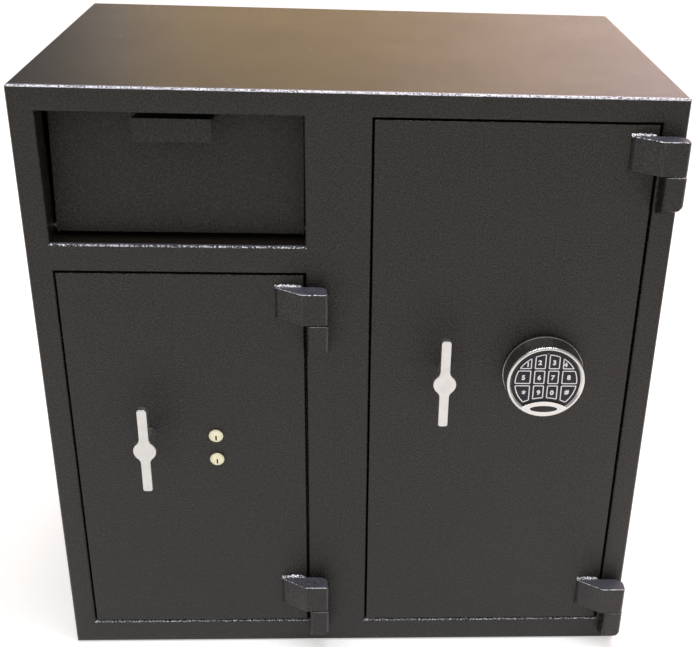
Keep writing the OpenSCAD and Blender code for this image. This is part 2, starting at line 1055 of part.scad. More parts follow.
module keypad_bezel() {
    front_r = pad_front_d / 2;
    color(chrome)
        at_pad()
            difference() {
                rotate([90, 0, 0])
                    rotate_extrude()
                        polygon([[0, lip_back], [pad_inner_r, lip_back], [pad_inner_r, pad_base_t],
                            [pad_base_d / 2 - pad_fit, pad_base_t], [front_r, pad_out - shoulder_l],
                            [front_r - shoulder_w, pad_out], [0, pad_out]]);
                bezel_hole();
            }
}

// Keys in rows from the top, each with its column's and its row's number
key_names = ["1", "2", "3", "4", "5", "6", "7", "8", "*", "9", "0", "#"];

// Left end, right end, bottom and top of a key's cell in the key field
function key_cell(i) =
    let (
        col = i % 4,
        row = floor(i / 4),
        lefts = [-key_field_r, -key_gap / 2 - key_w, key_gap / 2, 3 * key_gap / 2 + key_w],
        rights = [-3 * key_gap / 2 - key_w, -key_gap / 2, key_gap / 2 + key_w, key_field_r],
        bottoms = [key_row_z + key_h / 2 + key_row_gap, key_row_z - key_h / 2, -key_field_r],
        tops = [key_field_r, key_row_z + key_h / 2, key_row_z - key_h / 2 - key_row_gap]
    )
    [lefts[col], rights[col], bottoms[row], tops[row]];

module key_outline(i, grow) {
    cell = key_cell(i);
    intersection() {
        translate([cell[0] - grow, cell[2] - grow])
            square([cell[1] - cell[0] + 2 * grow, cell[3] - cell[2] + 2 * grow]);
        difference() {
            circle(key_field_r + grow);
            below_keys(key_row_gap * 2 - grow);
        }
    }
}

module keypad_face() {
    color(plastic)
        at_pad()
            difference() {
                union() {
                    plate(-pad_out + face_sink, -cup_out)
                        face_outline();
                    bar_round(pad_inner_r - pad_fit, -lip_back, -cup_out);
                }
                for (i = [0 : len(key_names) - 1])
                    plate(-pad_out - over, -cup_out + over)
                        key_outline(i, key_play);
            }
}

module keypad_board() {
    color(board_green)
        at_pad()
            bar_round(pad_inner_r - pad_fit - pad_wall - pad_fit, -board_front, -board_front + board_t);
}

module keypad_battery() {
    color(zinc)
        at_pad()
            span([-battery_l / 2, -pad_base_t - battery_t, -battery_h / 2],
                [battery_l / 2, -pad_base_t, battery_h / 2]);
}

module key(i) {
    color(plastic)
        at_pad()
            plate(-key_front, -key_back)
                key_outline(i, 0);
}

// The drawer's own frame: its axis at the origin, its panel upright
module in_drawer() {
    at_front()
        translate([0, drawer_axis_y, axis_z])
            rotate([-drawer_lean, 0, 0])
                children();
}

module drawer_panel() {
    color(paint)
        in_drawer()
            span([panel_x[0], -panel_off - panel_t, -panel_drop], [panel_x[1], -panel_off, panel_up]);
}

// Angle strip with a top that meets the panel and a front that hangs down
module drawer_pull() {
    front = -panel_off - panel_t - pull_out;
    x0 = pull_mid_x - pull_w / 2;
    x1 = pull_mid_x + pull_w / 2;
    color(paint)
        in_drawer()
            union() {
                span([x0, front, pull_up - pull_t], [x1, -panel_off - panel_t, pull_up]);
                span([x0, front, pull_up - pull_h], [x1, front + pull_t, pull_up]);
            }
}

module drawer_sides() {
    color(paint)
        in_drawer()
            for (x = [panel_x[0] + side_inset, panel_x[1] - side_inset - drawer_sheet])
                across(x, x + drawer_sheet)
                    difference() {
                        intersection() {
                            union() {
                                intersection() {
                                    circle(side_r);
                                    rotate(-tray_angle)
                                        translate([-side_r, rod_r])
                                            square([2 * side_r, side_r]);
                                }
                                circle(boss_r);
                            }
                            translate([-panel_off, -side_r])
                                square([side_r * 2, side_r * 2]);
                        }
                        circle(rod_r + pin_play);
                    }
}

module drawer_tray() {
    inset = side_inset + drawer_sheet;
    front = -(panel_off - tray_gap + rod_r * sin(tray_angle)) / cos(tray_angle);
    color(paint)
        in_drawer()
            rotate([-tray_angle, 0, 0])
                span([panel_x[0] + inset, front, rod_r], [panel_x[1] - inset, tray_l, rod_r + drawer_sheet]);
}

module drawer_rod() {
    color(steel)
        in_drawer()
            bar_across(rod_r, left_x - bracket_t, left_end_x + bracket_t);
}

// Plates behind the drawer opening that carry the rod
module drawer_brackets() {
    color(paint)
        at_front()
            for (x = [left_x - bracket_t, left_end_x])
                difference() {
                    span([x, drawer_return_d, drawer_z - return_t],
                        [x + bracket_t, bracket_back, drawer_z + bracket_up]);
                    translate([0, drawer_axis_y, axis_z])
                        bar_across(rod_r + pin_play, x - over, x + bracket_t + over);
                }
}

// Point of the chute's slope at a distance along it and a height above it, from the axis
function on_slope(u, v) =
    [drawer_axis_y + u * cos(chute_slope) + v * sin(chute_slope),
        axis_z - u * sin(chute_slope) + v * cos(chute_slope)];

// Height of a surface of the slope at a depth behind the front face
function slope_z(y, v) = axis_z + v / cos(chute_slope) - (y - drawer_axis_y) * tan(chute_slope);

// Chute floor below the tray: a lip behind the opening, a riser and a slope, bent from one sheet
module deposit_floor() {
    lip_z = drawer_z - return_t;
    riser_y = apron_d - chute_t;
    upper = rod_r - floor_play;
    lower = upper - chute_t;
    color(paint)
        at_front()
            across(-inner_x, divider_x - divider_t / 2)
                polygon([[drawer_return_d, lip_z - chute_t], [apron_d, lip_z - chute_t],
                    [apron_d, slope_z(apron_d, lower)], on_slope(chute_l, lower), on_slope(chute_l, upper),
                    [riser_y, slope_z(riser_y, upper)], [riser_y, lip_z], [drawer_return_d, lip_z]]);
}

module deposit_baffle() {
    lip = [-baffle_lip * sin(baffle_lip_angle), -baffle_lip * cos(baffle_lip_angle)];
    edge = [chute_t * cos(baffle_lip_angle), -chute_t * sin(baffle_lip_angle)];
    top = body_h - wall - baffle_z;
    color(paint)
        at_front()
            translate([0, baffle_y, baffle_z])
                across(-inner_x, divider_x - divider_t / 2)
                    polygon([[0, top], [0, 0], lip, lip + edge,
                        [chute_t, -chute_t * tan(baffle_lip_angle / 2)], [chute_t, top]]);
}

body_shell();
back_plate();
front_frame();
frame_returns();
centre_divider();
deposit_floor();
deposit_baffle();
drawer_brackets();
frame_hinge_blocks();
hinge_pins();
hinge_washers();
drawer_panel();
drawer_pull();
drawer_sides();
drawer_tray();
drawer_rod();
small_door_plate();
small_door_hinge_leaves();
small_door_dead_bar();
small_door_bolt_guide();
small_door_cover();
key_lock_case();
key_noses();
guard_key_plug();
renter_key_plug();
key_lock_bolt();
small_door_handle();
small_door_spindle();
small_door_cam();
small_door_bolt_bar();
small_door_bolts();
large_door_plate();
large_door_hinge_leaves();
large_door_dead_bar();
large_door_bolt_guide();
large_door_cover();
electronic_lock_case();
electronic_lock_bolt();
large_door_handle();
large_door_spindle();
large_door_cam();
large_door_bolt_bar();
large_door_bolts();
keypad_base();
keypad_bezel();
keypad_face();
keypad_board();
keypad_battery();
key(0);  // key_1
key(1);  // key_2
key(2);  // key_3
key(3);  // key_4
key(4);  // key_5
key(5);  // key_6
key(6);  // key_7
key(7);  // key_8
key(8);  // key_star
key(9);  // key_9
key(10);  // key_0
key(11);  // key_hash
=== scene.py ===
"""Finishes and fine detail of a drop safe with a deposit drawer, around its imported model."""

import json
import math
import random

import bmesh
import bpy
from bpy.props import FloatProperty, FloatVectorProperty, PointerProperty
from mathutils import Matrix, Vector


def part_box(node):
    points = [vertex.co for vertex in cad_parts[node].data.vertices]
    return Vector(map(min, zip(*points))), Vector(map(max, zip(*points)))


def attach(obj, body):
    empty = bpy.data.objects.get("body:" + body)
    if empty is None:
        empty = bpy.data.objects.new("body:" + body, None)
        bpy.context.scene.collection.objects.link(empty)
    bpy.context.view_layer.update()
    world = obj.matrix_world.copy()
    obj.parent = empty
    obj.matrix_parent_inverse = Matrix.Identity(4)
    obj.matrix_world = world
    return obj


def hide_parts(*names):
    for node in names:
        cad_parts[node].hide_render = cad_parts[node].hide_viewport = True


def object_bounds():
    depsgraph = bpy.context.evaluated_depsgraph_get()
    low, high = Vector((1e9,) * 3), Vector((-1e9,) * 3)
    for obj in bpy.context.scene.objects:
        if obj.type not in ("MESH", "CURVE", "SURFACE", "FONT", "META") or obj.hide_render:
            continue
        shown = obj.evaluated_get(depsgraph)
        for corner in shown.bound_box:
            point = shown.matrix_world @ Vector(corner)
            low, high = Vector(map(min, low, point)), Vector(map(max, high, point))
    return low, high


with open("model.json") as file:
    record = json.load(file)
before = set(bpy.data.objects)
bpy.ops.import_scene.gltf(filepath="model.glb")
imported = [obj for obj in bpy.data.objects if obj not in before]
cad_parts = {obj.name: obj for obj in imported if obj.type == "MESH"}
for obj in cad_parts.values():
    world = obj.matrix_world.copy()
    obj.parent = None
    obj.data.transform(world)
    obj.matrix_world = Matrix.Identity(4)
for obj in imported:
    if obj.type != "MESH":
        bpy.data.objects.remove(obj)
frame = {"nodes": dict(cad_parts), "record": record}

bl_info = {
    "name": "Drop Safe with Deposit Drawer",
    "version": (1, 0, 0),
    "blender": (4, 5, 0),
    "location": "3D View > Sidebar > Drop Safe",
    "description": "Adds finishes and fine detail to the packed model of a two-door drop safe",
    "category": "Object",
}

MM = 0.001
# How near two places count as the same
NEAR = 0.01 * MM
# How near a node's points are merged, and the bend in degrees below which its faces are
MERGE_NEAR, MERGE_BEND = 0.002 * MM, 0.4
CAD_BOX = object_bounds()
NODES = frame["nodes"]
BODIES = frame["record"]["behaviour"]["bodies"]
BODY_OF = {node: body for body, nodes in BODIES.items() for node in nodes}
SLOT_OF = {part["node"]: part["material_slot"] for part in frame["record"]["subparts"]}
FRONT_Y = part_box("front_frame")[0].y
FRAME_POINTS = [v.co.copy() for v in NODES["front_frame"].data.vertices]
DOORS = ("small_door", "large_door")

# Name of the material that finishes each slot of the record
FINISH_OF = {
    "textured_black_paint": "orange_peel_powder_coat",
    "zinc_plated_steel": "clear_zinc_plate",
    "bright_steel": "turned_bright_steel",
    "die_cast_zinc": "die_cast_zinc",
    "satin_chrome": "satin_chrome_plate",
    "polished_chrome": "polished_chrome_plate",
    "brass": "turned_pale_brass",
    "black_plastic": "moulded_black_abs",
    "circuit_board": "lacquered_circuit_board",
    "battery_sleeve": "printed_battery_sleeve",
    "key_plastic": "satin_key_plastic",
}


def rgb(code):
    """Linear colour of an sRGB hex value."""
    parts = [int(code[i : i + 2], 16) / 255 for i in (1, 3, 5)]
    linear = [c / 12.92 if c <= 0.04045 else ((c + 0.055) / 1.055) ** 2.4 for c in parts]
    return (*linear, 1.0)


# Sizes and colours


class SafeSizes(bpy.types.PropertyGroup):
    """Sizes of the fine detail."""

    peel: FloatProperty(
        name="Orange peel", description="Distance between the paint's bumps",
        default=1.7 * MM, unit="LENGTH",
    )
    speck: FloatProperty(
        name="Painted glint specks", description="Size of the painted specks of glint and sheen",
        default=1.9 * MM, unit="LENGTH",
    )
    edge: FloatProperty(
        name="Edge rounding", description="Rounding of the edges of thick steel",
        default=1.3 * MM, unit="LENGTH",
    )
    sheet_edge: FloatProperty(
        name="Sheet edge rounding", description="Rounding of sheet edges",
        default=0.35 * MM, unit="LENGTH",
    )
    handle_edge: FloatProperty(
        name="Handle rounding", description="Rounding of the handles' edges",
        default=1.3 * MM, unit="LENGTH",
    )
    weld: FloatProperty(
        name="Weld width", description="Width of a weld bead",
        default=6 * MM, unit="LENGTH",
    )
    outline: FloatProperty(
        name="Key outline", description="Width of the line round a key",
        default=1.35 * MM, unit="LENGTH",
    )
    key_corner: FloatProperty(
        name="Key corner", description="Radius of a key's corners",
        default=1.5 * MM, unit="LENGTH",
    )
    digit: FloatProperty(
        name="Digit height", description="Height of the digit on a key",
        default=6.4 * MM, unit="LENGTH",
    )


class SafeColours(bpy.types.PropertyGroup):
    """Colours of the finishes."""

    paint: FloatVectorProperty(
        name="Paint", description="Powder coat",
        default=rgb("#0f0e0d"), size=4, subtype="COLOR",
    )
    chrome: FloatVectorProperty(
        name="Chrome", description="Plate of handles and bezel",
        default=rgb("#cecdca"), size=4, subtype="COLOR",
    )
    brass: FloatVectorProperty(
        name="Brass", description="Brass of the key lock",
        default=rgb("#dad6b9"), size=4, subtype="COLOR",
    )
    key: FloatVectorProperty(
        name="Key", description="Plastic of the keys",
        default=rgb("#242329"), size=4, subtype="COLOR",
    )
    print_white: FloatVectorProperty(
        name="Print", description="Lines and digits of the keys",
        default=rgb("#fdfcfe"), size=4, subtype="COLOR",
    )


class SafeStage(bpy.types.PropertyGroup):
    """Camera and light of the studio."""

    lens: FloatProperty(
        name="Lens", description="Focal length in millimetres", default=58.521
    )
    lamp_level: FloatProperty(
        name="Lamp level", description="Share of the lamps' power", default=1.0
    )
    floor: FloatVectorProperty(
        name="Floor", description="Colour of the studio floor",
        default=rgb("#f1f0ee"), size=4, subtype="COLOR",
    )


# Modelling helpers


def only(piece):
    """Leaves one object selected and active."""
    bpy.ops.object.select_all(action="DESELECT")
    piece.select_set(True)
    bpy.context.view_layer.objects.active = piece


def new_object(operator, name, **settings):
    """Adds an object, which is then alone selected and active."""
    bpy.ops.object.select_all(action="DESELECT")
    operator(**settings)
    piece = bpy.context.object
    piece.name = piece.data.name = name
    return piece


def edit(piece):
    """Puts one object in edit mode."""
    only(piece)
    bpy.ops.object.mode_set(mode="EDIT")


def leave_edit():
    bpy.ops.object.mode_set(mode="OBJECT")


def choose_all():
    bpy.ops.mesh.select_all(action="SELECT")


def turn_outwards():
    choose_all()
    bpy.ops.mesh.normals_make_consistent(inside=False)


def choose(piece, kind, test):
    """In edit mode, selects only the vertices, edges or faces that pass the test."""
    bpy.ops.mesh.select_mode(type=kind)
    bpy.ops.mesh.select_all(action="DESELECT")
    mesh = bmesh.from_edit_mesh(piece.data)
    for item in {"VERT": mesh.verts, "EDGE": mesh.edges, "FACE": mesh.faces}[kind]:
        if test(item):
            item.select_set(True)
    mesh.select_flush_mode()
    bmesh.update_edit_mesh(piece.data)


def modify(piece, kind, **settings):
    """Adds a modifier with its settings and applies it."""
    only(piece)
    modifier = piece.modifiers.new(kind.title(), kind)
    for key, value in settings.items():
        setattr(modifier, key, value)
    bpy.ops.object.modifier_apply(modifier=modifier.name)


def bevel(piece, width, segments, limit, **settings):
    """Bevels the edges whose angle, in degrees, is above the limit."""
    sharp = {"limit_method": "ANGLE", "angle_limit": math.radians(limit)}
    modify(piece, "BEVEL", width=width, segments=segments, **sharp, **settings)


def put_in_place(piece, matrix):
    """Moves a piece and applies the move, so that its object stays at the origin."""
    only(piece)
    piece.matrix_world = matrix
    bpy.ops.object.transform_apply(location=True, rotation=True, scale=True)
    return piece


def merged_copy(node, name):
    """A CAD node's mesh as a new piece, its loose triangles merged to flat faces."""
    piece = bpy.data.objects.new(name, NODES[node].data.copy())
    piece.data.name = name
    bpy.context.scene.collection.objects.link(piece)
    only(piece)
    bpy.ops.mesh.customdata_custom_splitnormals_clear()
    edit(piece)
    choose_all()
    bpy.ops.mesh.remove_doubles(threshold=MERGE_NEAR)
    bpy.ops.mesh.dissolve_limited(angle_limit=math.radians(MERGE_BEND))
    leave_edit()
    return piece


def dress(piece, body, slot, finish=None, angle=32, nodes=()):
    """Shades a finished piece, gives it its material and ties it to its body."""
    only(piece)
    bpy.ops.object.shade_smooth_by_angle(angle=math.radians(angle))
    piece.data.materials.clear()
    piece.data.materials.append(bpy.data.materials[finish or FINISH_OF[slot]])
    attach(piece, body)
    if nodes:
        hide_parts(*nodes)


def recoat(piece, test, finish="wear_and_painted_glint_coat"):
    """Gives the faces that pass the test another coat over any that they have: painted glints,
    sheen or shade, or a greyer tone.
    """
    piece.data.materials.append(bpy.data.materials[finish])
    for face in piece.data.polygons:
        if test(face):
            face.material_index = len(piece.data.materials) - 1


def faces_front_and_up(face):
    """Whether a face lies on a rounded edge between a front and a top."""
    return face.normal.y < -0.25 and face.normal.z > 0.3


def faces_up(face):
    """Whether a face is a flat top."""
    return face.normal.z > 0.97


def faces_front_and_right(face):
    """Whether a face lies on a rounded upright corner between a front and a right side."""
    return face.normal.x > 0.45 and face.normal.y < -0.2 and abs(face.normal.z) < 0.2


def rounded(piece, node, width, segments=2, limit=32, clamp=True):
    """Rounds the edges of a node's copy, which then stands for the node."""
    bevel(piece, width, segments, limit, use_clamp_overlap=clamp, miter_outer="MITER_ARC")
    dress(piece, BODY_OF[node], SLOT_OF[node], nodes=(node,))
    modify(piece, "WEIGHTED_NORMAL", keep_sharp=True)


def softened(node, width, make="coated", **edges):
    """A copy of a CAD node with rounded edges, named for the node and how it was made."""
    rounded(merged_copy(node, f"{node}_{make}"), node, width, **edges)


def ball(name, radius):
    sphere = bpy.ops.mesh.primitive_uv_sphere_add
    return new_object(sphere, name, segments=20, ring_count=12, radius=radius)


def lumpy(piece, size, height):
    """Pushes a piece's surface in and out by soft lumps."""
    clouds = bpy.data.textures.new(piece.name, "CLOUDS")
    clouds.noise_scale = size
    modify(piece, "DISPLACE", texture=clouds, strength=height, texture_coords="LOCAL")


def joined(name, pieces):
    """Several meshes as one piece."""
    bpy.ops.object.select_all(action="DESELECT")
    for piece in pieces:
        piece.select_set(True)
    bpy.context.view_layer.objects.active = pieces[0]
    bpy.ops.object.join()
    pieces[0].name = pieces[0].data.name = name
    return pieces[0]


def copies(master, name, places):
    """One piece made of a master's mesh at each of the places, the master itself used up."""
    made = []
    for matrix in places:
        only(master)
        bpy.ops.object.duplicate()
        made.append(put_in_place(bpy.context.object, matrix))
    bpy.data.objects.remove(master)
    return joined(name, made)


# Finishes


def add(tree, kind, inputs=None, **settings):
    """Adds a node with its settings and inputs, each a plain value or the socket linked to it."""
    made = tree.nodes.new(kind)
    for key, value in settings.items():
        setattr(made, key, value)
    for key, value in (inputs or {}).items():
        if isinstance(value, bpy.types.NodeSocket):
            tree.links.new(value, made.inputs[key])
        else:
            made.inputs[key].default_value = value
    return made


def surface(name):
    """A new material's node tree and the point on the object that its patterns start from."""
    finish = bpy.data.materials.new(name)
    finish.use_nodes = True
    tree = finish.node_tree
    tree.nodes.clear()
    return tree, add(tree, "ShaderNodeTexCoord").outputs["Object"]


def close(tree, inputs, relief=None):
    """Ends a material with a surface that has these inputs, and a relief if one is given."""
    if relief:
        inputs["Normal"] = relief
    skin = add(tree, "ShaderNodeBsdfPrincipled", inputs)
    add(tree, "ShaderNodeOutputMaterial", {"Surface": skin.outputs["BSDF"]})


def drifting(tree, place, size, low=0.0, high=1.0, start=0.3, end=0.7, detail=2.0, roughness=0.5):
    """A number that drifts from low to high in lumps of about the given size, in metres.

    Start and end are the heights of the lumps at which it leaves low and reaches high.
    """
    lumps = {"Vector": place, "Scale": 1 / size, "Detail": detail, "Roughness": roughness}
    height = add(tree, "ShaderNodeTexNoise", lumps).outputs["Fac"]
    ends = {"From Min": start, "From Max": end, "To Min": low, "To Max": high}
    return add(tree, "ShaderNodeMapRange", {"Value": height, **ends}).outputs["Result"]


def two_toned(tree, place, size, first, second, **pattern):
    """The first colour going over into the second, in lumps of about the given size."""
    tones = {0: drifting(tree, place, size, **pattern), 6: first, 7: second}
    return add(tree, "ShaderNodeMix", tones, data_type="RGBA").outputs[2]


def bumpy(tree, place, size, depth, strength=1.0, under=None, **pattern):
    """Relief of lumps of the given size and depth, in metres, on top of another if one is given."""
    height = drifting(tree, place, size, start=0.0, end=1.0, **pattern)
    inputs = {"Height": height, "Distance": depth, "Strength": strength}
    if under:
        inputs["Normal"] = under
    return add(tree, "ShaderNodeBump", inputs).outputs["Normal"]


def orange_peel(tree, place, sizes):
    """Relief of the sprayed coat: soft lumps with a finer grain on them."""
    lumps = bumpy(tree, place, sizes.peel, 0.7 * MM, detail=1.5, roughness=0.55)
    return bumpy(tree, place, sizes.peel * 0.45, 0.5 * MM, under=lumps, detail=1.0)


def powder_coats(sizes, colours):
    # Polyester powder coat, sprayed on steel and baked: near black with a satin gloss that an
    # orange-peel relief breaks up, so that light rakes over it as a fine sparkle. The real bumps
    # are about 1 mm apart, too fine for the render, and are drawn coarser. On the slanted fronts of
    # the hinge leaves it is a little greyer, and on their left ends it is darker still, a painted
    # shade.
    paint = tuple(colours.paint)
    fog_size = 110 * MM
    for name, dark, haze in (
        ("orange_peel_powder_coat", paint, "#2c261d"),
        ("greyer_leaf_coat", rgb("#252423"), "#393633"),
        ("painted_shade_end_coat", rgb("#070707"), "#0c0b0b"),
    ):
        tree, place = surface(name)
        cloudy = two_toned(tree, place, fog_size, dark, rgb("#0c0d0e"), detail=3.0)
        grain = {"start": 0.4, "end": 0.66, "roughness": 0.6}
        coat = {
            "Base Color": two_toned(tree, place, sizes.peel * 1.5, cloudy, rgb(haze), **grain),
            "Roughness": drifting(tree, place, fog_size, 0.19, 0.23, detail=3.0),
            "IOR": 1.42,
        }
        close(tree, coat, orange_peel(tree, place, sizes))
    # The same coat with bright specks of bare steel, put only on rounded edges that face up and
    # to the front, towards the lamp. This is a painted highlight, a broken white line from a step
    # away, which stands for the glints of the coat's bumps. On the chips of the top's front edge
    # the specks are real wear. On welds and inner ledges there are fewer specks, with black between
    # them.
    for name, start, end, steel in (
        ("wear_and_painted_glint_coat", 0.37, 0.51, "#d9dae2"),
        ("painted_glint_speckled_coat", 0.45, 0.51, "#f2f2f7"),
        ("painted_glint_beaded_coat", 0.49, 0.57, "#d9dae2"),
    ):
        tree, place = surface(name)
        specks = {"start": start, "end": end, "roughness": 0.6}
        coat = {
            "Base Color": two_toned(tree, place, sizes.speck, paint, rgb(steel), **specks),
            "Metallic": drifting(tree, place, sizes.speck, **specks),
            "Roughness": drifting(tree, place, sizes.speck, 0.24, 0.3, **specks),
        }
        close(tree, coat, orange_peel(tree, place, sizes))
    # The same coat with bluish grey specks on black and a higher roughness. It is a painted sheen
    # on flat tops, standing for the light from above that they reflect, and a painted highlight on
    # rounded corners that face right.
    tree, place = surface("painted_sheen_ledge_coat")
    grain = sizes.speck * 0.7
    sheen_specks = {"start": 0.4, "end": 0.64, "detail": 2.5, "roughness": 0.6}
    coat = {
        "Base Color": two_toned(tree, place, grain, paint, rgb("#6b6a76"), **sheen_specks),
        "Roughness": drifting(tree, place, grain, 0.36, 0.6, **sheen_specks),
        "IOR": 1.46,
    }
    close(tree, coat, orange_peel(tree, place, sizes))


# How bright a metal's darker clouds are
CLOUD_SHADE = 0.88


def plated(name, colour, low, high, cloud, lines=None, depth=0.0):
    """A metal with its roughness drifting from low to high in clouds of a given size.

    Lines are their number in a metre along x, y and z, and the depth is theirs.
    """
    tree, place = surface(name)
    shade = (*(CLOUD_SHADE * c for c in colour[:3]), 1.0)
    plate = {
        "Base Color": two_toned(tree, place, cloud, tuple(colour), shade, high=0.5, detail=3.0),
        "Metallic": 1.0,
        "Roughness": drifting(tree, place, cloud, low, high, detail=3.0),
    }
    relief = None
    if lines:
        stretched = add(tree, "ShaderNodeMapping", {"Scale": lines, "Vector": place})
        relief = bumpy(tree, stretched.outputs["Vector"], 1.0, depth, 0.6)
    close(tree, plate, relief)


def metals(colours):
    # Satin chrome over a zinc casting, tumbled before plating: bright, softly blurred and
    # faintly cloudy.
    lines = (1400, 1400, 300)
    plated("satin_chrome_plate", colours.chrome, 0.34, 0.42, 12 * MM, lines, 0.01 * MM)
    # Bright chrome, hazed by hands and cleaning: a blurred mirror.
    lines = (900, 900, 900)
    plated("polished_chrome_plate", colours.chrome, 0.18, 0.26, 10 * MM, lines, 0.001 * MM)
    # Turned pale brass: rings of the lathe catch the light, with a light tarnish.
    plated("turned_pale_brass", colours.brass, 0.28, 0.42, 4 * MM, (1500, 60, 1500), 0.03 * MM)
    # Clear zinc plate on mild steel: bluish silver with faint spangle.
    plated("clear_zinc_plate", rgb("#b4b8bb"), 0.3, 0.45, 9 * MM, (500, 500, 500), 0.02 * MM)
    # Bright drawn steel, turned: fine lines round the bar.
    plated("turned_bright_steel", rgb("#c3c5c6"), 0.2, 0.32, 20 * MM, (2200, 40, 40), 0.02 * MM)
    # Die-cast zinc, as cast: dull grey with soft flow marks.
    plated("die_cast_zinc", rgb("#a3a4a2"), 0.45, 0.6, 6 * MM, (350, 350, 350), 0.05 * MM)
    # Black-oxide steel of the socket screws: dark, oily sheen.
    plated("black_oxide_steel", rgb("#3a3a3c"), 0.35, 0.5, 2 * MM)


def moulded(name, tones, lump, detail, dull, others, grain=None, spread=(0.0, 1.0)):
    """A plastic in two tones and with two roughnesses, which mix in lumps of the given size.

    The grain is its relief's size, depth, strength and detail.
    """
    tree, place = surface(name)
    pattern = {"start": spread[0], "end": spread[1], "detail": detail}
    skin = {
        "Base Color": two_toned(tree, place, lump, *tones, **pattern),
        "Roughness": drifting(tree, place, lump, *dull, detail=detail),
        **others,
    }
    relief = None
    if grain:
        size, depth, strength, fineness = grain
        relief = bumpy(tree, place, size, depth, strength, detail=fineness)
    close(tree, skin, relief)


def plastics(colours):
    # Injection-moulded ABS with a fine spark-eroded grain.
    tones = rgb("#151416"), rgb("#1a191b")
    grain = (0.9 * MM, 0.03 * MM, 0.5, 2.0)
    moulded("moulded_black_abs", tones, 20 * MM, 2.0, (0.36, 0.46), {"IOR": 1.38}, grain)
    # Key caps: satin moulded plastic, a little lighter and bluer than the face.
    tones = tuple(colours.key), rgb("#1d1c21")
    grain = (0.7 * MM, 0.03 * MM, 0.5, 2.0)
    moulded("satin_key_plastic", tones, 8 * MM, 3.0, (0.45, 0.6), {"IOR": 1.38}, grain)
    # Pad-printed ink: matt white, a little uneven where the pad lifted.
    tones = tuple(colours.print_white), rgb("#eceaef")
    fine = (1.2 * MM, 0.02 * MM, 0.5, 3.0)
    ink = {"IOR": 1.45}
    moulded("pad_printed_white", tones, 1.2 * MM, 3.0, (0.6, 0.6), ink, fine, (0.3, 0.7))
    # Epoxy label with a dark ink under it: glossy, softly domed.
    tones = rgb("#0f0e10"), rgb("#151417")
    moulded("domed_black_label", tones, 6 * MM, 2.0, (0.25, 0.35), {"IOR": 1.4})
    # Clear moulded lens of the signal light: milky and smooth.
    tones = rgb("#b9b8bd"), rgb("#9b9aa0")
    milk = {"IOR": 1.49, "Subsurface Weight": 0.2, "Subsurface Scale": 1 * MM}
    moulded("milky_lens", tones, 1 * MM, 2.0, (0.15, 0.3), milk)
    # Shrink sleeve of the battery: glossy grey film over a round-cornered can.
    tones = rgb("#4c5560"), rgb("#586270")
    folds = (6 * MM, 0.06 * MM, 0.4, 3.0)
    moulded("printed_battery_sleeve", tones, 6 * MM, 3.0, (0.2, 0.32), {"IOR": 1.5}, folds)


def circuit_board():
    # Glass-epoxy board under green lacquer: darker where there is no copper beneath.
    tree, place = surface("lacquered_circuit_board")
    upright = {"Rotation": (math.radians(90), 0, 0), "Vector": place}
    bricks = {
        "Vector": add(tree, "ShaderNodeMapping", upright).outputs["Vector"],
        "Color1": rgb("#1f6a3c"),
        "Color2": rgb("#2a7a48"),
        "Mortar": rgb("#124a29"),
        "Scale": 1.0,
        "Mortar Size": 0.4 * MM,
        "Brick Width": 6 * MM,
        "Row Height": 1.6 * MM,
    }
    tracks = add(tree, "ShaderNodeTexBrick", bricks, offset=0.4)
    sunk = {"Height": tracks.outputs["Fac"], "Distance": -0.05 * MM, "Strength": 0.6}
    lacquer = {
        "Base Color": tracks.outputs["Color"],
        "Roughness": drifting(tree, place, 10 * MM, 0.22, 0.34),
        "IOR": 1.55,
    }
    close(tree, lacquer, add(tree, "ShaderNodeBump", sunk).outputs["Normal"])


class SAFE_OT_finishes(bpy.types.Operator):
    """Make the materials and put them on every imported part"""

    bl_idname = "safe.finishes"
    bl_label = "Finishes"

    def execute(self, context):
        powder_coats(context.scene.safe_sizes, context.scene.safe_colours)
        metals(context.scene.safe_colours)
        plastics(context.scene.safe_colours)
        circuit_board()
        for name, part in NODES.items():
            finish = bpy.data.materials[FINISH_OF[SLOT_OF[name]]]
            if not part.material_slots:
                part.data.materials.append(finish)
            for slot in part.material_slots:
                slot.material = finish
        return {"FINISHED"}


# Welds and screws


# A weld's drops, in shares of its width: from one to the next, and how long and high each is
DROP_PITCH, DROP_LENGTH, DROP_HEIGHT = 0.36, 0.828, 0.85
# Edge of the cubes that a weld's drops are melted into, size and height of its lumps, and how far
# they are shifted from one weld to the next
WELD_GRAIN, WELD_LUMP, WELD_ROUGHNESS = 0.45 * MM, 4 * MM, 3.4 * MM
WELD_SHIFT = 0.37


def weld_bead(start, end, out, width, shift):
    """Lumpy bead along a line, made of overlapping drops, its lumps shifted to differ."""
    start, end, out = Vector(start), Vector(end), Vector(out).normalized()
    along = (end - start).normalized()
    pitch = width * DROP_PITCH
    bead = ball("weld_bead", 0.5)
    put_in_place(bead, Matrix.Diagonal((width * DROP_LENGTH, width, width * DROP_HEIGHT, 1)))
    count = max(2, round((end - start).length / pitch))
    steps = {"use_constant_offset": True, "constant_offset_displace": (pitch, 0, 0)}
    modify(bead, "ARRAY", use_relative_offset=False, count=count, **steps)
    modify(bead, "REMESH", mode="VOXEL", voxel_size=WELD_GRAIN)
    bead.data.transform(Matrix.Translation((shift, 0, 0)))
    lumpy(bead, WELD_LUMP, WELD_ROUGHNESS)
    bead.data.transform(Matrix.Translation((-shift, 0, 0)))
    modify(bead, "SMOOTH", factor=0.5, iterations=1)
    turn = Matrix((along, out.cross(along), out)).transposed().to_4x4()
    return put_in_place(bead, Matrix.Translation(start) @ turn)


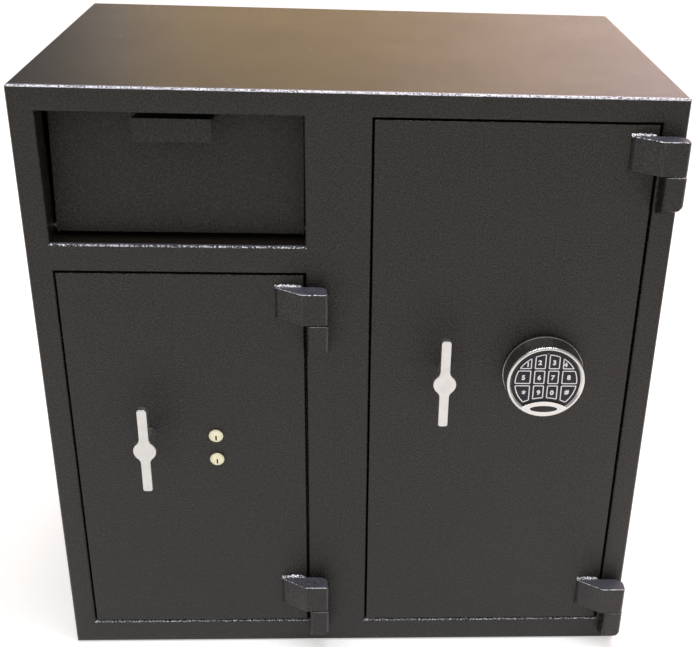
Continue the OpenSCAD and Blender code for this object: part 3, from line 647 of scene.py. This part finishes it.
def corner_fillet(corner, inward, radius):
    """Fills in an opening's upper corner, hollowed to a radius and running back from the front."""
    circle = bpy.ops.mesh.primitive_circle_add
    fillet = new_object(circle, "corner_fillet", vertices=48, radius=radius)
    edit(fillet)
    choose(fillet, "VERT", lambda v: v.co.x > NEAR or v.co.y > NEAR)
    bpy.ops.mesh.delete(type="VERT")
    choose_all()
    bpy.ops.mesh.extrude_region_move()
    bpy.ops.transform.resize(value=(0, 0, 0), center_override=(-radius, -radius, 0))
    choose_all()
    bpy.ops.mesh.remove_doubles(threshold=NEAR)
    bpy.ops.mesh.extrude_region_move(TRANSFORM_OT_translate={"value": (0, 0, FILLET_DEPTH)})
    leave_edit()
    middle = corner + Vector((inward * radius, 0, -radius))
    turn = Matrix(((inward, 0, 0), (0, 0, 1), (0, -1, 0))).to_4x4()
    put_in_place(fillet, Matrix.Translation(middle) @ turn)
    edit(fillet)
    turn_outwards()
    leave_edit()
    return fillet


# A screw's socket, in shares of its head: radius across the corners, and depth
SOCKET_RADIUS, SOCKET_DEPTH = 0.27, 0.6
# Share of a screw head's width past which a point is on its rim, and of its height that is rounded
RIM_FROM, HEAD_ROUND = 0.45, 0.45


def socket_screw(name, head_d, head_h):
    """Button-head screw with a hexagon socket, its head's base at z = 0."""
    rim, socket = head_d * RIM_FROM, head_d * SOCKET_RADIUS
    lift = (0, 0, head_h)
    circle = bpy.ops.mesh.primitive_circle_add
    screw = new_object(circle, name, vertices=32, radius=head_d / 2, location=lift)
    put_in_place(screw, screw.matrix_world.copy())
    edit(screw)
    circle(vertices=6, radius=socket, location=lift)
    choose_all()
    bpy.ops.mesh.bridge_edge_loops()
    for test, drop in (
        (lambda v: v.co.xy.length > rim, head_h),
        (lambda v: v.co.xy.length < socket + NEAR, head_h * SOCKET_DEPTH),
    ):
        choose(screw, "VERT", test)
        bpy.ops.mesh.select_mode(type="EDGE")
        bpy.ops.mesh.extrude_region_move(TRANSFORM_OT_translate={"value": (0, 0, -drop)})
        bpy.ops.mesh.edge_face_add()
    choose(
        screw,
        "EDGE",
        lambda e: all(abs(v.co.z - head_h) < NEAR and v.co.xy.length > rim for v in e.verts),
    )
    bpy.ops.mesh.bevel(offset=head_h * HEAD_ROUND, segments=4, affect="EDGES")
    turn_outwards()
    leave_edit()
    return screw


TO_FRONT = Matrix.Rotation(math.radians(90), 4, "X")
TO_BACK = Matrix.Rotation(math.radians(-90), 4, "X")


def back_screws(node, body, slot, inset, levels, head_d, head_h):
    """Screws at the left and right of a node's back, at the given shares of its height."""
    low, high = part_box(node)
    bottom, top = low.z + inset, high.z - inset
    places = [
        Matrix.Translation((x, high.y, bottom + (top - bottom) * level)) @ TO_BACK
        for x in (low.x + inset, high.x - inset)
        for level in levels
    ]
    made = copies(socket_screw("screw_master", head_d, head_h), f"{node}_screws", places)
    dress(made, body, slot, "black_oxide_steel")


# How far below the body's top an edge of the frame still counts as its top edge
BROW_HEIGHT = 20 * MM
# Least area of a hinge block's large faces, how far a block reaches at the most to the sides and
# upwards from its lower outer corner, and how deep that corner is cut
LARGE_FACE = 100 * MM**2
BLOCK_REACH = 40 * MM, 60 * MM
CORNER_CUT = 4 * MM
# Radius of the fillings in the left (0) and the right (1) corner of the drawer's opening, and how
# far back they run
DRAWER_FILLETS = ((0, 3.5 * MM), (1, 8 * MM))
FILLET_DEPTH = 28 * MM
# Dust nibs on the top: places of the large ones, number of the small ones, and how far from the
# middle these lie at the most
LARGE_NIBS = ((-0.238, 0.107), (-0.054, -0.042))
SMALL_NIBS, NIB_REACH = 12, (0.36, 0.22)
# Chips on the top's front edge, as their place across and their length in millimetres
CHIPS = ((-0.006, 6), (-0.068, 4), (-0.077, 7), (0.21, 3), (-0.31, 3))


def cut_block_corners(blocks):
    """Cuts off each block's lower outer corner, along its slanting foot."""
    points = blocks.data.vertices
    large = [f for f in blocks.data.polygons if f.area > LARGE_FACE]
    foot = next(f.normal.copy() for f in large if f.normal.z < -0.85)
    sides = [[points[i].co for i in f.vertices] for f in large if f.normal.x > 0.99]
    corners = [min(side, key=lambda co: co.z).copy() for side in sides]
    slope = (foot + Vector((1, 0, 0))).normalized()
    across, up = BLOCK_REACH
    edit(blocks)
    for corner in corners:
        choose(
            blocks,
            "FACE",
            lambda f: all(
                abs(v.co.x - corner.x) < across and -1 * MM < v.co.z - corner.z < up
                for v in f.verts
            ),
        )
        cut = {"plane_co": corner - slope * CORNER_CUT, "plane_no": slope}
        bpy.ops.mesh.bisect(**cut, use_fill=True, clear_outer=True)
    leave_edit()


def drawer_opening_fillets():
    """Rounds the upper corners of the drawer's opening."""
    flat = [co for co in FRAME_POINTS if co.y < FRONT_Y + NEAR]
    openings = frame["record"]["physics"]["openings"]
    mouth = next(o["box_m"] for o in openings if o["name"] == "drawer_mouth")
    made = []
    for side, radius in DRAWER_FILLETS:
        x, z = mouth[side][0], mouth[1][2]
        corner = min(flat, key=lambda co: math.hypot(co.x - x, co.z - z))
        made.append(corner_fillet(corner, 1 - 2 * side, radius))
    dress(joined("drawer_opening_fillets", made), "safe_body", "textured_black_paint")


def coat_chips():
    """Dust nibs in the coat of the top, and chips on its front edge, as small lumps."""
    brow = max(FRAME_POINTS, key=lambda co: co.z - co.y)
    top = CAD_BOX[1].z
    chance = random.Random(7)
    # Each spot is a place, then a length, a width and a height
    spots = [((x, y, top), 1.8 * MM, 1.5 * MM, 0.6 * MM) for x, y in LARGE_NIBS]
    for _ in range(SMALL_NIBS):
        across, deep = (chance.uniform(-reach, reach) for reach in NIB_REACH)
        size = chance.uniform(0.7, 1.2) * MM
        spots.append(((across, deep, top), size, size, 0.4 * MM))
    for x, length in CHIPS:
        spots.append(((x, brow.y, brow.z), length * MM, 2 * MM, 1.4 * MM))
    made = []
    sphere = bpy.ops.mesh.primitive_ico_sphere_add
    for spot, *size in spots:
        lump = new_object(sphere, "coat_nib", subdivisions=2, radius=0.5)
        made.append(put_in_place(lump, Matrix.Translation(spot) @ Matrix.Diagonal((*size, 1))))
    piece = joined("coat_nibs_and_chips", made)
    lumpy(piece, 1.5 * MM, 0.6 * MM)
    dress(piece, "safe_body", "textured_black_paint", "wear_and_painted_glint_coat", 60)


class SAFE_OT_body(bpy.types.Operator):
    """Round the body's small parts, paint glints and sheen on its edges and ledges, and add its
    fillets, nibs and chips
    """

    bl_idname = "safe.body"
    bl_label = "Body and frame blocks"

    def execute(self, context):
        sizes = context.scene.safe_sizes
        softened("back_plate", sizes.edge, "sheet")
        plate = merged_copy("front_frame", "front_frame_coated")
        dress(plate, "safe_body", "textured_black_paint", nodes=("front_frame",))
        brow = CAD_BOX[1].z - BROW_HEIGHT
        # Painted glints on the frame's rounded edges that face up and to the front, densest along
        # the top edge, and a painted sheen on the flat tops of its ledges
        recoat(plate, faces_front_and_up, "painted_glint_beaded_coat")
        recoat(plate, lambda face: faces_front_and_up(face) and face.center.z > brow)
        recoat(plate, faces_up, "painted_sheen_ledge_coat")
        blocks = merged_copy("frame_hinge_blocks", "frame_blocks_coated")
        cut_block_corners(blocks)
        rounded(blocks, "frame_hinge_blocks", sizes.edge, segments=3)
        # Painted glints on the blocks' upper front edges and a painted highlight on their right
        # front corners
        recoat(blocks, faces_front_and_up)
        recoat(blocks, faces_front_and_right, "painted_sheen_ledge_coat")
        softened("drawer_brackets", sizes.sheet_edge)
        softened("hinge_pins", 0.8 * MM, "turned")
        softened("hinge_washers", 0.15 * MM, "turned")
        drawer_opening_fillets()
        coat_chips()
        return {"FINISHED"}


class SAFE_OT_drawer(bpy.types.Operator):
    """Round the edges of the deposit drawer's sheets"""

    bl_idname = "safe.drawer"
    bl_label = "Deposit drawer"

    def execute(self, context):
        sizes = context.scene.safe_sizes
        softened("drawer_panel", 0.7 * MM, segments=3)
        softened("drawer_pull", 0.8 * MM, segments=3)
        softened("drawer_sides", sizes.sheet_edge)
        softened("drawer_tray", sizes.sheet_edge)
        softened("drawer_rod", 0.8 * MM, "turned")
        return {"FINISHED"}


# Coats laid over those of the hinge leaves: a greyer one on the front that slants to the door,
# painted glints on the rounded top edge where it is straight and where it slants, a painted
# sheen on the top, a painted highlight on the right front corner and painted shade on the left
# end
LEAF_COATS = (
    (lambda face: face.normal.x < -0.03 and face.normal.y < -0.6, "greyer_leaf_coat"),
    (lambda face: faces_front_and_up(face) and abs(face.normal.x) < 0.05, "wear_and_painted_glint_coat"),
    (lambda face: faces_front_and_up(face) and abs(face.normal.x) > 0.05, "painted_glint_speckled_coat"),
    (faces_up, "painted_sheen_ledge_coat"),
    (faces_front_and_right, "painted_sheen_ledge_coat"),
    (lambda face: face.normal.x < -0.85, "painted_shade_end_coat"),
)
# How far a leaf's weld stays from the ends of the seam, and how far it stands forward of it
WELD_INSET, WELD_FORWARD = 2 * MM, 0.5 * MM


def weld_leaves(door, node, width):
    """A bead under and over each leaf, where it lies on the door."""
    low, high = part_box(node)
    left = low.x + WELD_INSET
    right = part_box(f"{door}_plate")[1].x - WELD_INSET
    front = FRONT_Y - WELD_FORWARD
    middle = (low.z + high.z) / 2
    heights = [v.co.z for v in NODES[node].data.vertices]
    lower = [z for z in heights if z < middle]
    upper = [z for z in heights if z > middle]
    beads = []
    for leaf in (lower, upper):
        for z, up in ((min(leaf), -1), (max(leaf), 1)):
            ends = (left, front, z), (right, front, z)
            beads.append(weld_bead(*ends, (0, -1, up), width, len(beads) * WELD_SHIFT))
    piece = joined(f"{door}_leaf_welds", beads)
    dress(piece, door, "textured_black_paint", angle=60)
    tops = (max(lower), max(upper))
    # Painted glints on the upper beads, where the lamp above catches their lumps
    recoat(
        piece,
        lambda face: any(abs(face.center.z - top) < width for top in tops),
        "painted_glint_speckled_coat",
    )


class SAFE_OT_hinges(bpy.types.Operator):
    """Round the door leaves of the hinges and weld them to the doors"""

    bl_idname = "safe.hinges"
    bl_label = "Hinge leaves and welds"

    def execute(self, context):
        sizes = context.scene.safe_sizes
        for door in DOORS:
            node = f"{door}_hinge_leaves"
            coated = merged_copy(node, f"{door}_leaves_coated")
            rounded(coated, node, sizes.edge, segments=3, clamp=False)
            for test, coat in LEAF_COATS:
                recoat(coated, test, coat)
            weld_leaves(door, node, sizes.weld)
        return {"FINISHED"}


class SAFE_OT_doors(bpy.types.Operator):
    """Round the door plates, their covers and hook bars, and screw the covers on"""

    bl_idname = "safe.doors"
    bl_label = "Doors"

    def execute(self, context):
        sizes = context.scene.safe_sizes
        for door in DOORS:
            softened(f"{door}_plate", 0.6 * MM)
            softened(f"{door}_dead_bar", sizes.edge)
            cover = f"{door}_cover"
            softened(cover, 0.5 * MM)
            levels = (0, 0.5, 1)
            back_screws(cover, door, "zinc_plated_steel", 11 * MM, levels, 8 * MM, 3 * MM)
        return {"FINISHED"}


class SAFE_OT_handles(bpy.types.Operator):
    """Round the handles and their spindles"""

    bl_idname = "safe.handles"
    bl_label = "Handles"

    def execute(self, context):
        edge = context.scene.safe_sizes.handle_edge
        for door in DOORS:
            softened(f"{door}_handle", edge, "plated", segments=4, limit=40, clamp=False)
            softened(f"{door}_spindle", 0.5 * MM, "plated")
            softened(f"{door}_cam", 0.4 * MM, "edged")
        return {"FINISHED"}


class SAFE_OT_boltwork(bpy.types.Operator):
    """Round the bolts, their bars and guides"""

    bl_idname = "safe.boltwork"
    bl_label = "Boltwork"

    def execute(self, context):
        for door in DOORS:
            softened(f"{door}_bolts", 1.6 * MM, "turned")
            softened(f"{door}_bolt_bar", 0.5 * MM, "edged")
            softened(f"{door}_bolt_guide", 0.5 * MM, "edged")
        return {"FINISHED"}


class SAFE_OT_locks(bpy.types.Operator):
    """Round the lock cases, lock bolts, key noses and key plugs, and screw the cases on"""

    bl_idname = "safe.locks"
    bl_label = "Locks"

    def execute(self, context):
        for lock, body in (("key_lock", "small_door"), ("electronic_lock", "large_door")):
            case = f"{lock}_case"
            softened(case, 1.2 * MM, "cast", segments=3)
            softened(f"{lock}_bolt", 0.6 * MM, "cast")
            back_screws(case, body, "die_cast_zinc", 6 * MM, (0, 1), 6 * MM, 2.2 * MM)
        softened("key_noses", 0.45 * MM, "turned", segments=3, limit=40)
        softened("guard_key_plug", 0.3 * MM, "turned", limit=40)
        softened("renter_key_plug", 0.3 * MM, "turned", limit=40)
        return {"FINISHED"}


# Keypad


# Width and length of the bezel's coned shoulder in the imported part, the radius that rounds it,
# and how far back the cuts lie that bend it
SHOULDER_WIDTH, SHOULDER_LENGTH = 2.4 * MM, 7 * MM
SHOULDER_ROUND = 2.8 * MM
SHOULDER_CUTS = (0.12 * MM, 0.45 * MM, 0.95 * MM, 1.6 * MM, 3.2 * MM)
# The blank label's width, height and thickness, and its place from the bezel's front middle
LABEL_SIZE = 35.4 * MM, 9 * MM, 0.5 * MM
LABEL_SPOT = 0, 0.05 * MM, -37.9 * MM
# The signal light's radius at the most, how flat it is, and its height over the middle
LENS_RADIUS, LENS_FLATNESS, LENS_HEIGHT = 0.9 * MM, 0.35, 40.5 * MM
# The rim ring's thickness, how far it is sunk into the bezel, and how much it is stretched back
RING_THICKNESS, RING_SUNK, RING_STRETCH = 1 * MM, 0.1 * MM, 1.3


def round_shoulder(bezel, front):
    """Fills the bezel's coned shoulder out to a quarter round."""

    def radius(vert):
        return math.hypot(vert.co.x - front.x, vert.co.z - front.z)

    rim = max(radius(v) for v in bezel.data.vertices if v.co.y < front.y + NEAR)
    full = rim + SHOULDER_WIDTH
    least = rim - 5 * NEAR
    edit(bezel)
    for depth in SHOULDER_CUTS:
        choose(
            bezel,
            "FACE",
            lambda f: all(
                radius(v) > least and v.co.y < front.y + SHOULDER_LENGTH + NEAR
                for v in f.verts
            ),
        )
        bpy.ops.mesh.bisect(plane_co=(0, front.y + depth, 0), plane_no=(0, 1, 0))
    mesh = bmesh.from_edit_mesh(bezel.data)
    for vert in mesh.verts:
        depth = vert.co.y - front.y
        if radius(vert) > least and depth < SHOULDER_LENGTH - NEAR:
            left = max(0, SHOULDER_ROUND - depth)
            reach = full - SHOULDER_ROUND + math.sqrt(SHOULDER_ROUND**2 - left**2)
            grow = reach / radius(vert)
            vert.co.x = front.x + (vert.co.x - front.x) * grow
            vert.co.z = front.z + (vert.co.z - front.z) * grow
    bmesh.update_edit_mesh(bezel.data)
    leave_edit()


def rim_ring(back, radius):
    """The bright ring between the keypad's base and its bezel."""
    ring = new_object(
        bpy.ops.mesh.primitive_torus_add,
        "keypad_rim_ring",
        major_segments=96,
        minor_segments=10,
        major_radius=radius - RING_SUNK,
        minor_radius=RING_THICKNESS / 2,
    )
    stretch = Matrix.Diagonal((1, 1, RING_STRETCH, 1))
    put_in_place(ring, Matrix.Translation(back) @ TO_FRONT @ stretch)
    dress(ring, "large_door", "polished_chrome")


def blank_label(front):
    """An oval label without print, let into the bezel's lower part."""
    disc = {"vertices": 64, "radius": 0.5, "depth": 1.0}
    label = new_object(bpy.ops.mesh.primitive_cylinder_add, "keypad_blank_label", **disc)
    put_in_place(label, Matrix.Diagonal((*LABEL_SIZE, 1)))
    bevel(label, 0.22 * MM, 3, 50)
    put_in_place(label, Matrix.Translation(front + Vector(LABEL_SPOT)) @ TO_FRONT)
    dress(label, "large_door", "black_plastic", "domed_black_label")


def signal_lens(front):
    """A small domed light in the gap between keys 2 and 3."""
    left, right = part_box("key_2")[1].x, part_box("key_3")[0].x
    lens = ball("keypad_signal_lens", min(LENS_RADIUS, 0.45 * (right - left)))
    flatten = Matrix.Diagonal((1, 1, LENS_FLATNESS, 1))
    spot = ((left + right) / 2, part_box("keypad_face")[0].y, front.z + LENS_HEIGHT)
    put_in_place(lens, Matrix.Translation(spot) @ TO_FRONT @ flatten)
    dress(lens, "large_door", "key_plastic", "milky_lens")


class SAFE_OT_keypad(bpy.types.Operator):
    """Round the keypad's housing, and add its rim ring, blank label and signal light"""

    bl_idname = "safe.keypad"
    bl_label = "Keypad housing"

    def execute(self, context):
        softened("keypad_base", 0.6 * MM, "moulded", segments=3)
        low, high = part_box("keypad_bezel")
        front = Vector(((low.x + high.x) / 2, low.y, (low.z + high.z) / 2))
        bezel = merged_copy("keypad_bezel", "keypad_bezel_plated")
        round_shoulder(bezel, front)
        rounded(bezel, "keypad_bezel", 0.5 * MM, segments=3, limit=25)
        rim_ring(Vector((front.x, high.y, front.z)), (high.x - low.x) / 2)
        softened("keypad_face", 0.15 * MM, "moulded", limit=40)
        softened("keypad_board", 0.1 * MM, "lacquered")
        softened("keypad_battery", 2 * MM, "sleeved", segments=4)
        blank_label(front)
        signal_lens(front)
        return {"FINISHED"}


# Sign of each key, its share of a digit's size, and how far it is from the key's middle in
# millimetres, to the right and up
GLYPHS = {
    "1": ("1", 0.95, 2.8, -1.5),
    "2": ("2", 1.0, -0.6, -1.2),
    "3": ("3", 1.0, -0.3, -1.2),
    "4": ("4", 0.9, -4.2, -1.5),
    "5": ("5", 1.0, 0.7, -0.6),
    "6": ("6", 1.0, 0.0, -0.5),
    "7": ("7", 1.0, -0.3, -0.5),
    "8": ("8", 1.0, -1.1, -0.1),
    "9": ("9", 1.0, 0.6, -0.1),
    "0": ("0", 1.0, 0.0, -0.1),
    "star": ("*", 1.4, 2.6, 2.3),
    "hash": ("#", 0.95, -1.8, 2.6),
}


# Thickness of the print, how far it stays from a key's edge, and how far forward a digit stands
PRINT_THICKNESS, PRINT_INSET, PRINT_LIFT = 0.08 * MM, 0.25 * MM, 0.03 * MM
# Text size that gives a digit the height 1, and how far a stroke is thickened
TEXT_HEIGHT = 1.4
STROKE, STAR_STROKE = 0.42 * MM, 0.26 * MM


def upright_corner(edge):
    """Whether an edge of a key runs from front to back at a corner of its outline."""
    first, second = edge.verts
    return abs(first.co.y - second.co.y) > 1 * MM and edge.calc_face_angle(0) > 0.4


def front_face(face):
    """Whether a face of a key is its front."""
    return face.normal.y < -0.9


def key_cap(node, corner):
    """Rounds a key and returns a copy of its front, which its outline is made from."""
    cap = merged_copy(node, f"{node}_cap")
    edit(cap)
    turn_outwards()
    choose(cap, "EDGE", upright_corner)
    bpy.ops.mesh.bevel(offset=corner, segments=5, affect="EDGES")
    choose(cap, "FACE", front_face)
    bpy.ops.mesh.duplicate()
    bpy.ops.mesh.separate(type="SELECTED")
    choose(cap, "FACE", front_face)
    bpy.ops.mesh.region_to_loop()
    bpy.ops.mesh.bevel(offset=0.2 * MM, segments=2, affect="EDGES")
    leave_edit()
    line = next(o for o in bpy.context.selected_objects if o != cap)
    line.name = line.data.name = f"{node}_outline"
    dress(cap, node, "key_plastic", nodes=(node,))
    return line


def key_outline(line, width):
    """Makes a printed line of a key's front."""
    edit(line)
    choose_all()
    bpy.ops.mesh.inset(thickness=PRINT_INSET)
    bpy.ops.mesh.select_all(action="INVERT")
    bpy.ops.mesh.delete(type="FACE")
    choose_all()
    bpy.ops.mesh.inset(thickness=width)
    bpy.ops.mesh.delete(type="FACE")
    leave_edit()
    modify(line, "SOLIDIFY", thickness=PRINT_THICKNESS, offset=1.0)


def printed_digit(glyph, height, spot):
    """A printed sign with its middle at a place."""
    text = new_object(bpy.ops.object.text_add, "digit").data
    text.body = glyph
    text.align_x = "CENTER"
    text.size = height
    text.offset = STAR_STROKE if glyph == "*" else STROKE
    text.extrude = PRINT_THICKNESS / 2
    text.resolution_u = 4
    bpy.ops.object.convert(target="MESH")
    digit = bpy.context.object
    xs = [v.co.x for v in digit.data.vertices]
    ys = [v.co.y for v in digit.data.vertices]
    middle = Vector(((min(xs) + max(xs)) / 2, (min(ys) + max(ys)) / 2, 0))
    turn = TO_FRONT @ Matrix.Translation(-middle)
    return put_in_place(digit, Matrix.Translation(spot) @ turn)


class SAFE_OT_keys(bpy.types.Operator):
    """Round the keys' corners and print an outline and a digit on each"""

    bl_idname = "safe.keys"
    bl_label = "Keys"

    def execute(self, context):
        sizes = context.scene.safe_sizes
        for key, (glyph, share, right, up) in GLYPHS.items():
            node = f"key_{key}"
            line = key_cap(node, sizes.key_corner)
            key_outline(line, sizes.outline)
            low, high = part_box(node)
            middle = (low + high) / 2
            spot = Vector((middle.x + right * MM, low.y - PRINT_LIFT, middle.z + up * MM))
            digit = printed_digit(glyph, sizes.digit * TEXT_HEIGHT * share, spot)
            mark = joined(f"{node}_print", [line, digit])
            dress(mark, node, "key_plastic", "pad_printed_white")
        return {"FINISHED"}


# Stage


# Light that the paper adds to what a camera or a mirror sees of it
FLOOR_GLOW = 0.44


def studio_floor(colour):
    # Seamless studio paper: matt and pale, brightened for the camera and in reflections.
    tree, place = surface("studio_paper")
    fibres = bumpy(tree, place, 4 * MM, 0.05 * MM, 0.3, detail=3.0)
    paper = add(tree, "ShaderNodeBsdfDiffuse", {"Color": tuple(colour), "Normal": fibres})
    path = add(tree, "ShaderNodeLightPath").outputs
    seen = path["Is Camera Ray"]
    for ray in ("Is Glossy Ray", "Is Transmission Ray"):
        seen = add(tree, "ShaderNodeMath", {0: seen, 1: path[ray]}, operation="MAXIMUM").outputs[0]
    level = add(tree, "ShaderNodeMath", {0: seen, 1: FLOOR_GLOW}, operation="MULTIPLY")
    light = {"Color": (1, 1, 1, 1), "Strength": level.outputs[0]}
    glow = add(tree, "ShaderNodeEmission", light)
    both = add(tree, "ShaderNodeAddShader", {0: paper.outputs[0], 1: glow.outputs[0]})
    add(tree, "ShaderNodeOutputMaterial", {"Surface": both.outputs[0]})


# How the room changes with the direction looked in: name, the direction's part that the change
# follows, where it starts and ends, and its values there
ROOM_CHANGES = (
    ("behind", "Y", 0.0, 0.6, 0.0, 1.0),
    ("cool_to_warm", "X", -0.29, -0.15, 0.0, 1.0),
    ("warm_to_rose", "X", 0.0, 0.35, 0.0, 1.0),
    ("left_level", "X", -0.25, -0.185, 0.14, 1.44),
    ("right_level", "X", 0.03, 0.35, 0.0, 1.45),
)


def studio_world():
    """Dim room in front, brighter behind, and white wherever the camera looks past the floor."""
    world = bpy.data.worlds.new("studio_room")
    bpy.context.scene.world = world
    world.use_nodes = True
    tree = world.node_tree
    tree.nodes.clear()
    way = add(tree, "ShaderNodeTexCoord").outputs["Generated"]
    parts = add(tree, "ShaderNodeSeparateXYZ", {"Vector": way}).outputs
    room = {}
    for name, part, start, end, low, high in ROOM_CHANGES:
        ends = {"From Min": start, "From Max": end, "To Min": low, "To Max": high}
        change = add(tree, "ShaderNodeMapRange", {"Value": parts[part], **ends})
        room[name] = change.outputs["Result"]
    camera_ray = add(tree, "ShaderNodeLightPath").outputs["Is Camera Ray"]
    wall = rgb("#8fc8fa")
    for share, tone in (("cool_to_warm", "#e8c79a"), ("warm_to_rose", "#f7dcdc")):
        tones = {0: room[share], 6: wall, 7: rgb(tone)}
        wall = add(tree, "ShaderNodeMix", tones, data_type="RGBA").outputs[2]
    tones = {0: room["behind"], 6: rgb("#cfcecd"), 7: wall}
    walls = add(tree, "ShaderNodeMix", tones, data_type="RGBA").outputs[2]
    tones = {0: camera_ray, 6: walls, 7: (1, 1, 1, 1)}
    colour = add(tree, "ShaderNodeMix", tones, data_type="RGBA").outputs[2]
    sides = {0: room["left_level"], 1: room["right_level"]}
    wall_level = add(tree, "ShaderNodeMath", sides, operation="ADD").outputs[0]
    levels = {0: room["behind"], 2: 0.8, 3: wall_level}
    level = add(tree, "ShaderNodeMix", levels, data_type="FLOAT").outputs[0]
    levels = {0: camera_ray, 2: level, 3: 1.0}
    strength = add(tree, "ShaderNodeMix", levels, data_type="FLOAT").outputs[0]
    sky = add(tree, "ShaderNodeBackground", {"Color": colour, "Strength": strength})
    add(tree, "ShaderNodeOutputWorld", {"Surface": sky.outputs[0]})


# Lamps as name, centre, size along x and y, aim, power in watts and colour
LAMPS = (
    ("ceiling_tube", (0.0, -0.6, 3.1), (3.2, 0.2), (0, -0.3, 0.4), 48, "#fbfaff"),
    ("front_softbox", (0.0, -3.4, 2.5), (3.2, 2.2), (0, 0, 0.4), 10, "#ffffff"),
)


# The camera's place in metres, turn in degrees, and shift of its picture
CAMERA_SPOT = (-0.0051, -1.5185, 1.1234)
CAMERA_TURN = (62.692, -1.950, -2.896)
CAMERA_SHIFT = (-0.1003, 0.0465)
# Side of the studio paper, and the place of its middle, just below the safe
PAPER_SIZE = 24
PAPER_SPOT = (0, 4, -0.5 * MM)


class SAFE_OT_stage(bpy.types.Operator):
    """Set up the floor, the lamps and the camera"""

    bl_idname = "safe.stage"
    bl_label = "Stage"

    def execute(self, context):
        stage = context.scene.safe_stage
        studio_floor(stage.floor)
        studio_world()
        sheet = {"x_subdivisions": 8, "y_subdivisions": 8, "size": PAPER_SIZE}
        floor = new_object(bpy.ops.mesh.primitive_grid_add, "studio_floor", **sheet)
        put_in_place(floor, Matrix.Translation(PAPER_SPOT))
        floor.data.materials.append(bpy.data.materials["studio_paper"])
        for name, spot, size, aim, power, colour in LAMPS:
            turn = (Vector(aim) - Vector(spot)).to_track_quat("-Z", "Y").to_euler()
            pose = {"location": spot, "rotation": turn}
            lamp = new_object(bpy.ops.object.light_add, name, type="AREA", **pose)
            lamp.data.shape = "RECTANGLE"
            lamp.data.size, lamp.data.size_y = size
            lamp.data.energy = power * stage.lamp_level
            lamp.data.color = rgb(colour)[:3]
            lamp.visible_camera = False
        turn = [math.radians(angle) for angle in CAMERA_TURN]
        pose = {"location": CAMERA_SPOT, "rotation": turn}
        camera = new_object(bpy.ops.object.camera_add, "photo_camera", **pose)
        camera.data.lens = stage.lens
        camera.data.sensor_width = 36
        camera.data.sensor_fit = "HORIZONTAL"
        camera.data.shift_x, camera.data.shift_y = CAMERA_SHIFT
        camera.data.clip_start = 0.01
        context.scene.camera = camera
        context.scene.view_settings.view_transform = "Standard"
        return {"FINISHED"}


STEPS = (
    SAFE_OT_finishes,
    SAFE_OT_body,
    SAFE_OT_drawer,
    SAFE_OT_doors,
    SAFE_OT_hinges,
    SAFE_OT_handles,
    SAFE_OT_boltwork,
    SAFE_OT_locks,
    SAFE_OT_keypad,
    SAFE_OT_keys,
    SAFE_OT_stage,
)


class SAFE_PT_panel(bpy.types.Panel):
    """Drop safe's sizes, colours and steps"""

    bl_idname = "SAFE_PT_panel"
    bl_label = "Drop Safe"
    bl_space_type = "VIEW_3D"
    bl_region_type = "UI"
    bl_category = "Drop Safe"

    def draw(self, context):
        for group in GROUPS:
            box = self.layout.box()
            values = getattr(context.scene, group)
            for name in values.__annotations__:
                box.prop(values, name)
        for step in STEPS:
            self.layout.operator(step.bl_idname)


GROUPS = {"safe_sizes": SafeSizes, "safe_colours": SafeColours, "safe_stage": SafeStage}


def register():
    for group in GROUPS.values():
        bpy.utils.register_class(group)
    for name, group in GROUPS.items():
        setattr(bpy.types.Scene, name, PointerProperty(type=group))
    for step in (*STEPS, SAFE_PT_panel):
        bpy.utils.register_class(step)


def unregister():
    for step in reversed((*STEPS, SAFE_PT_panel)):
        bpy.utils.unregister_class(step)
    for name in GROUPS:
        delattr(bpy.types.Scene, name)
    for group in GROUPS.values():
        bpy.utils.unregister_class(group)


def main():
    register()
    bpy.ops.safe.finishes()
    bpy.ops.safe.body()
    bpy.ops.safe.drawer()
    bpy.ops.safe.doors()
    bpy.ops.safe.hinges()
    bpy.ops.safe.handles()
    bpy.ops.safe.boltwork()
    bpy.ops.safe.locks()
    bpy.ops.safe.keypad()
    bpy.ops.safe.keys()
    bpy.ops.safe.stage()


if __name__ == "__main__":
    main()
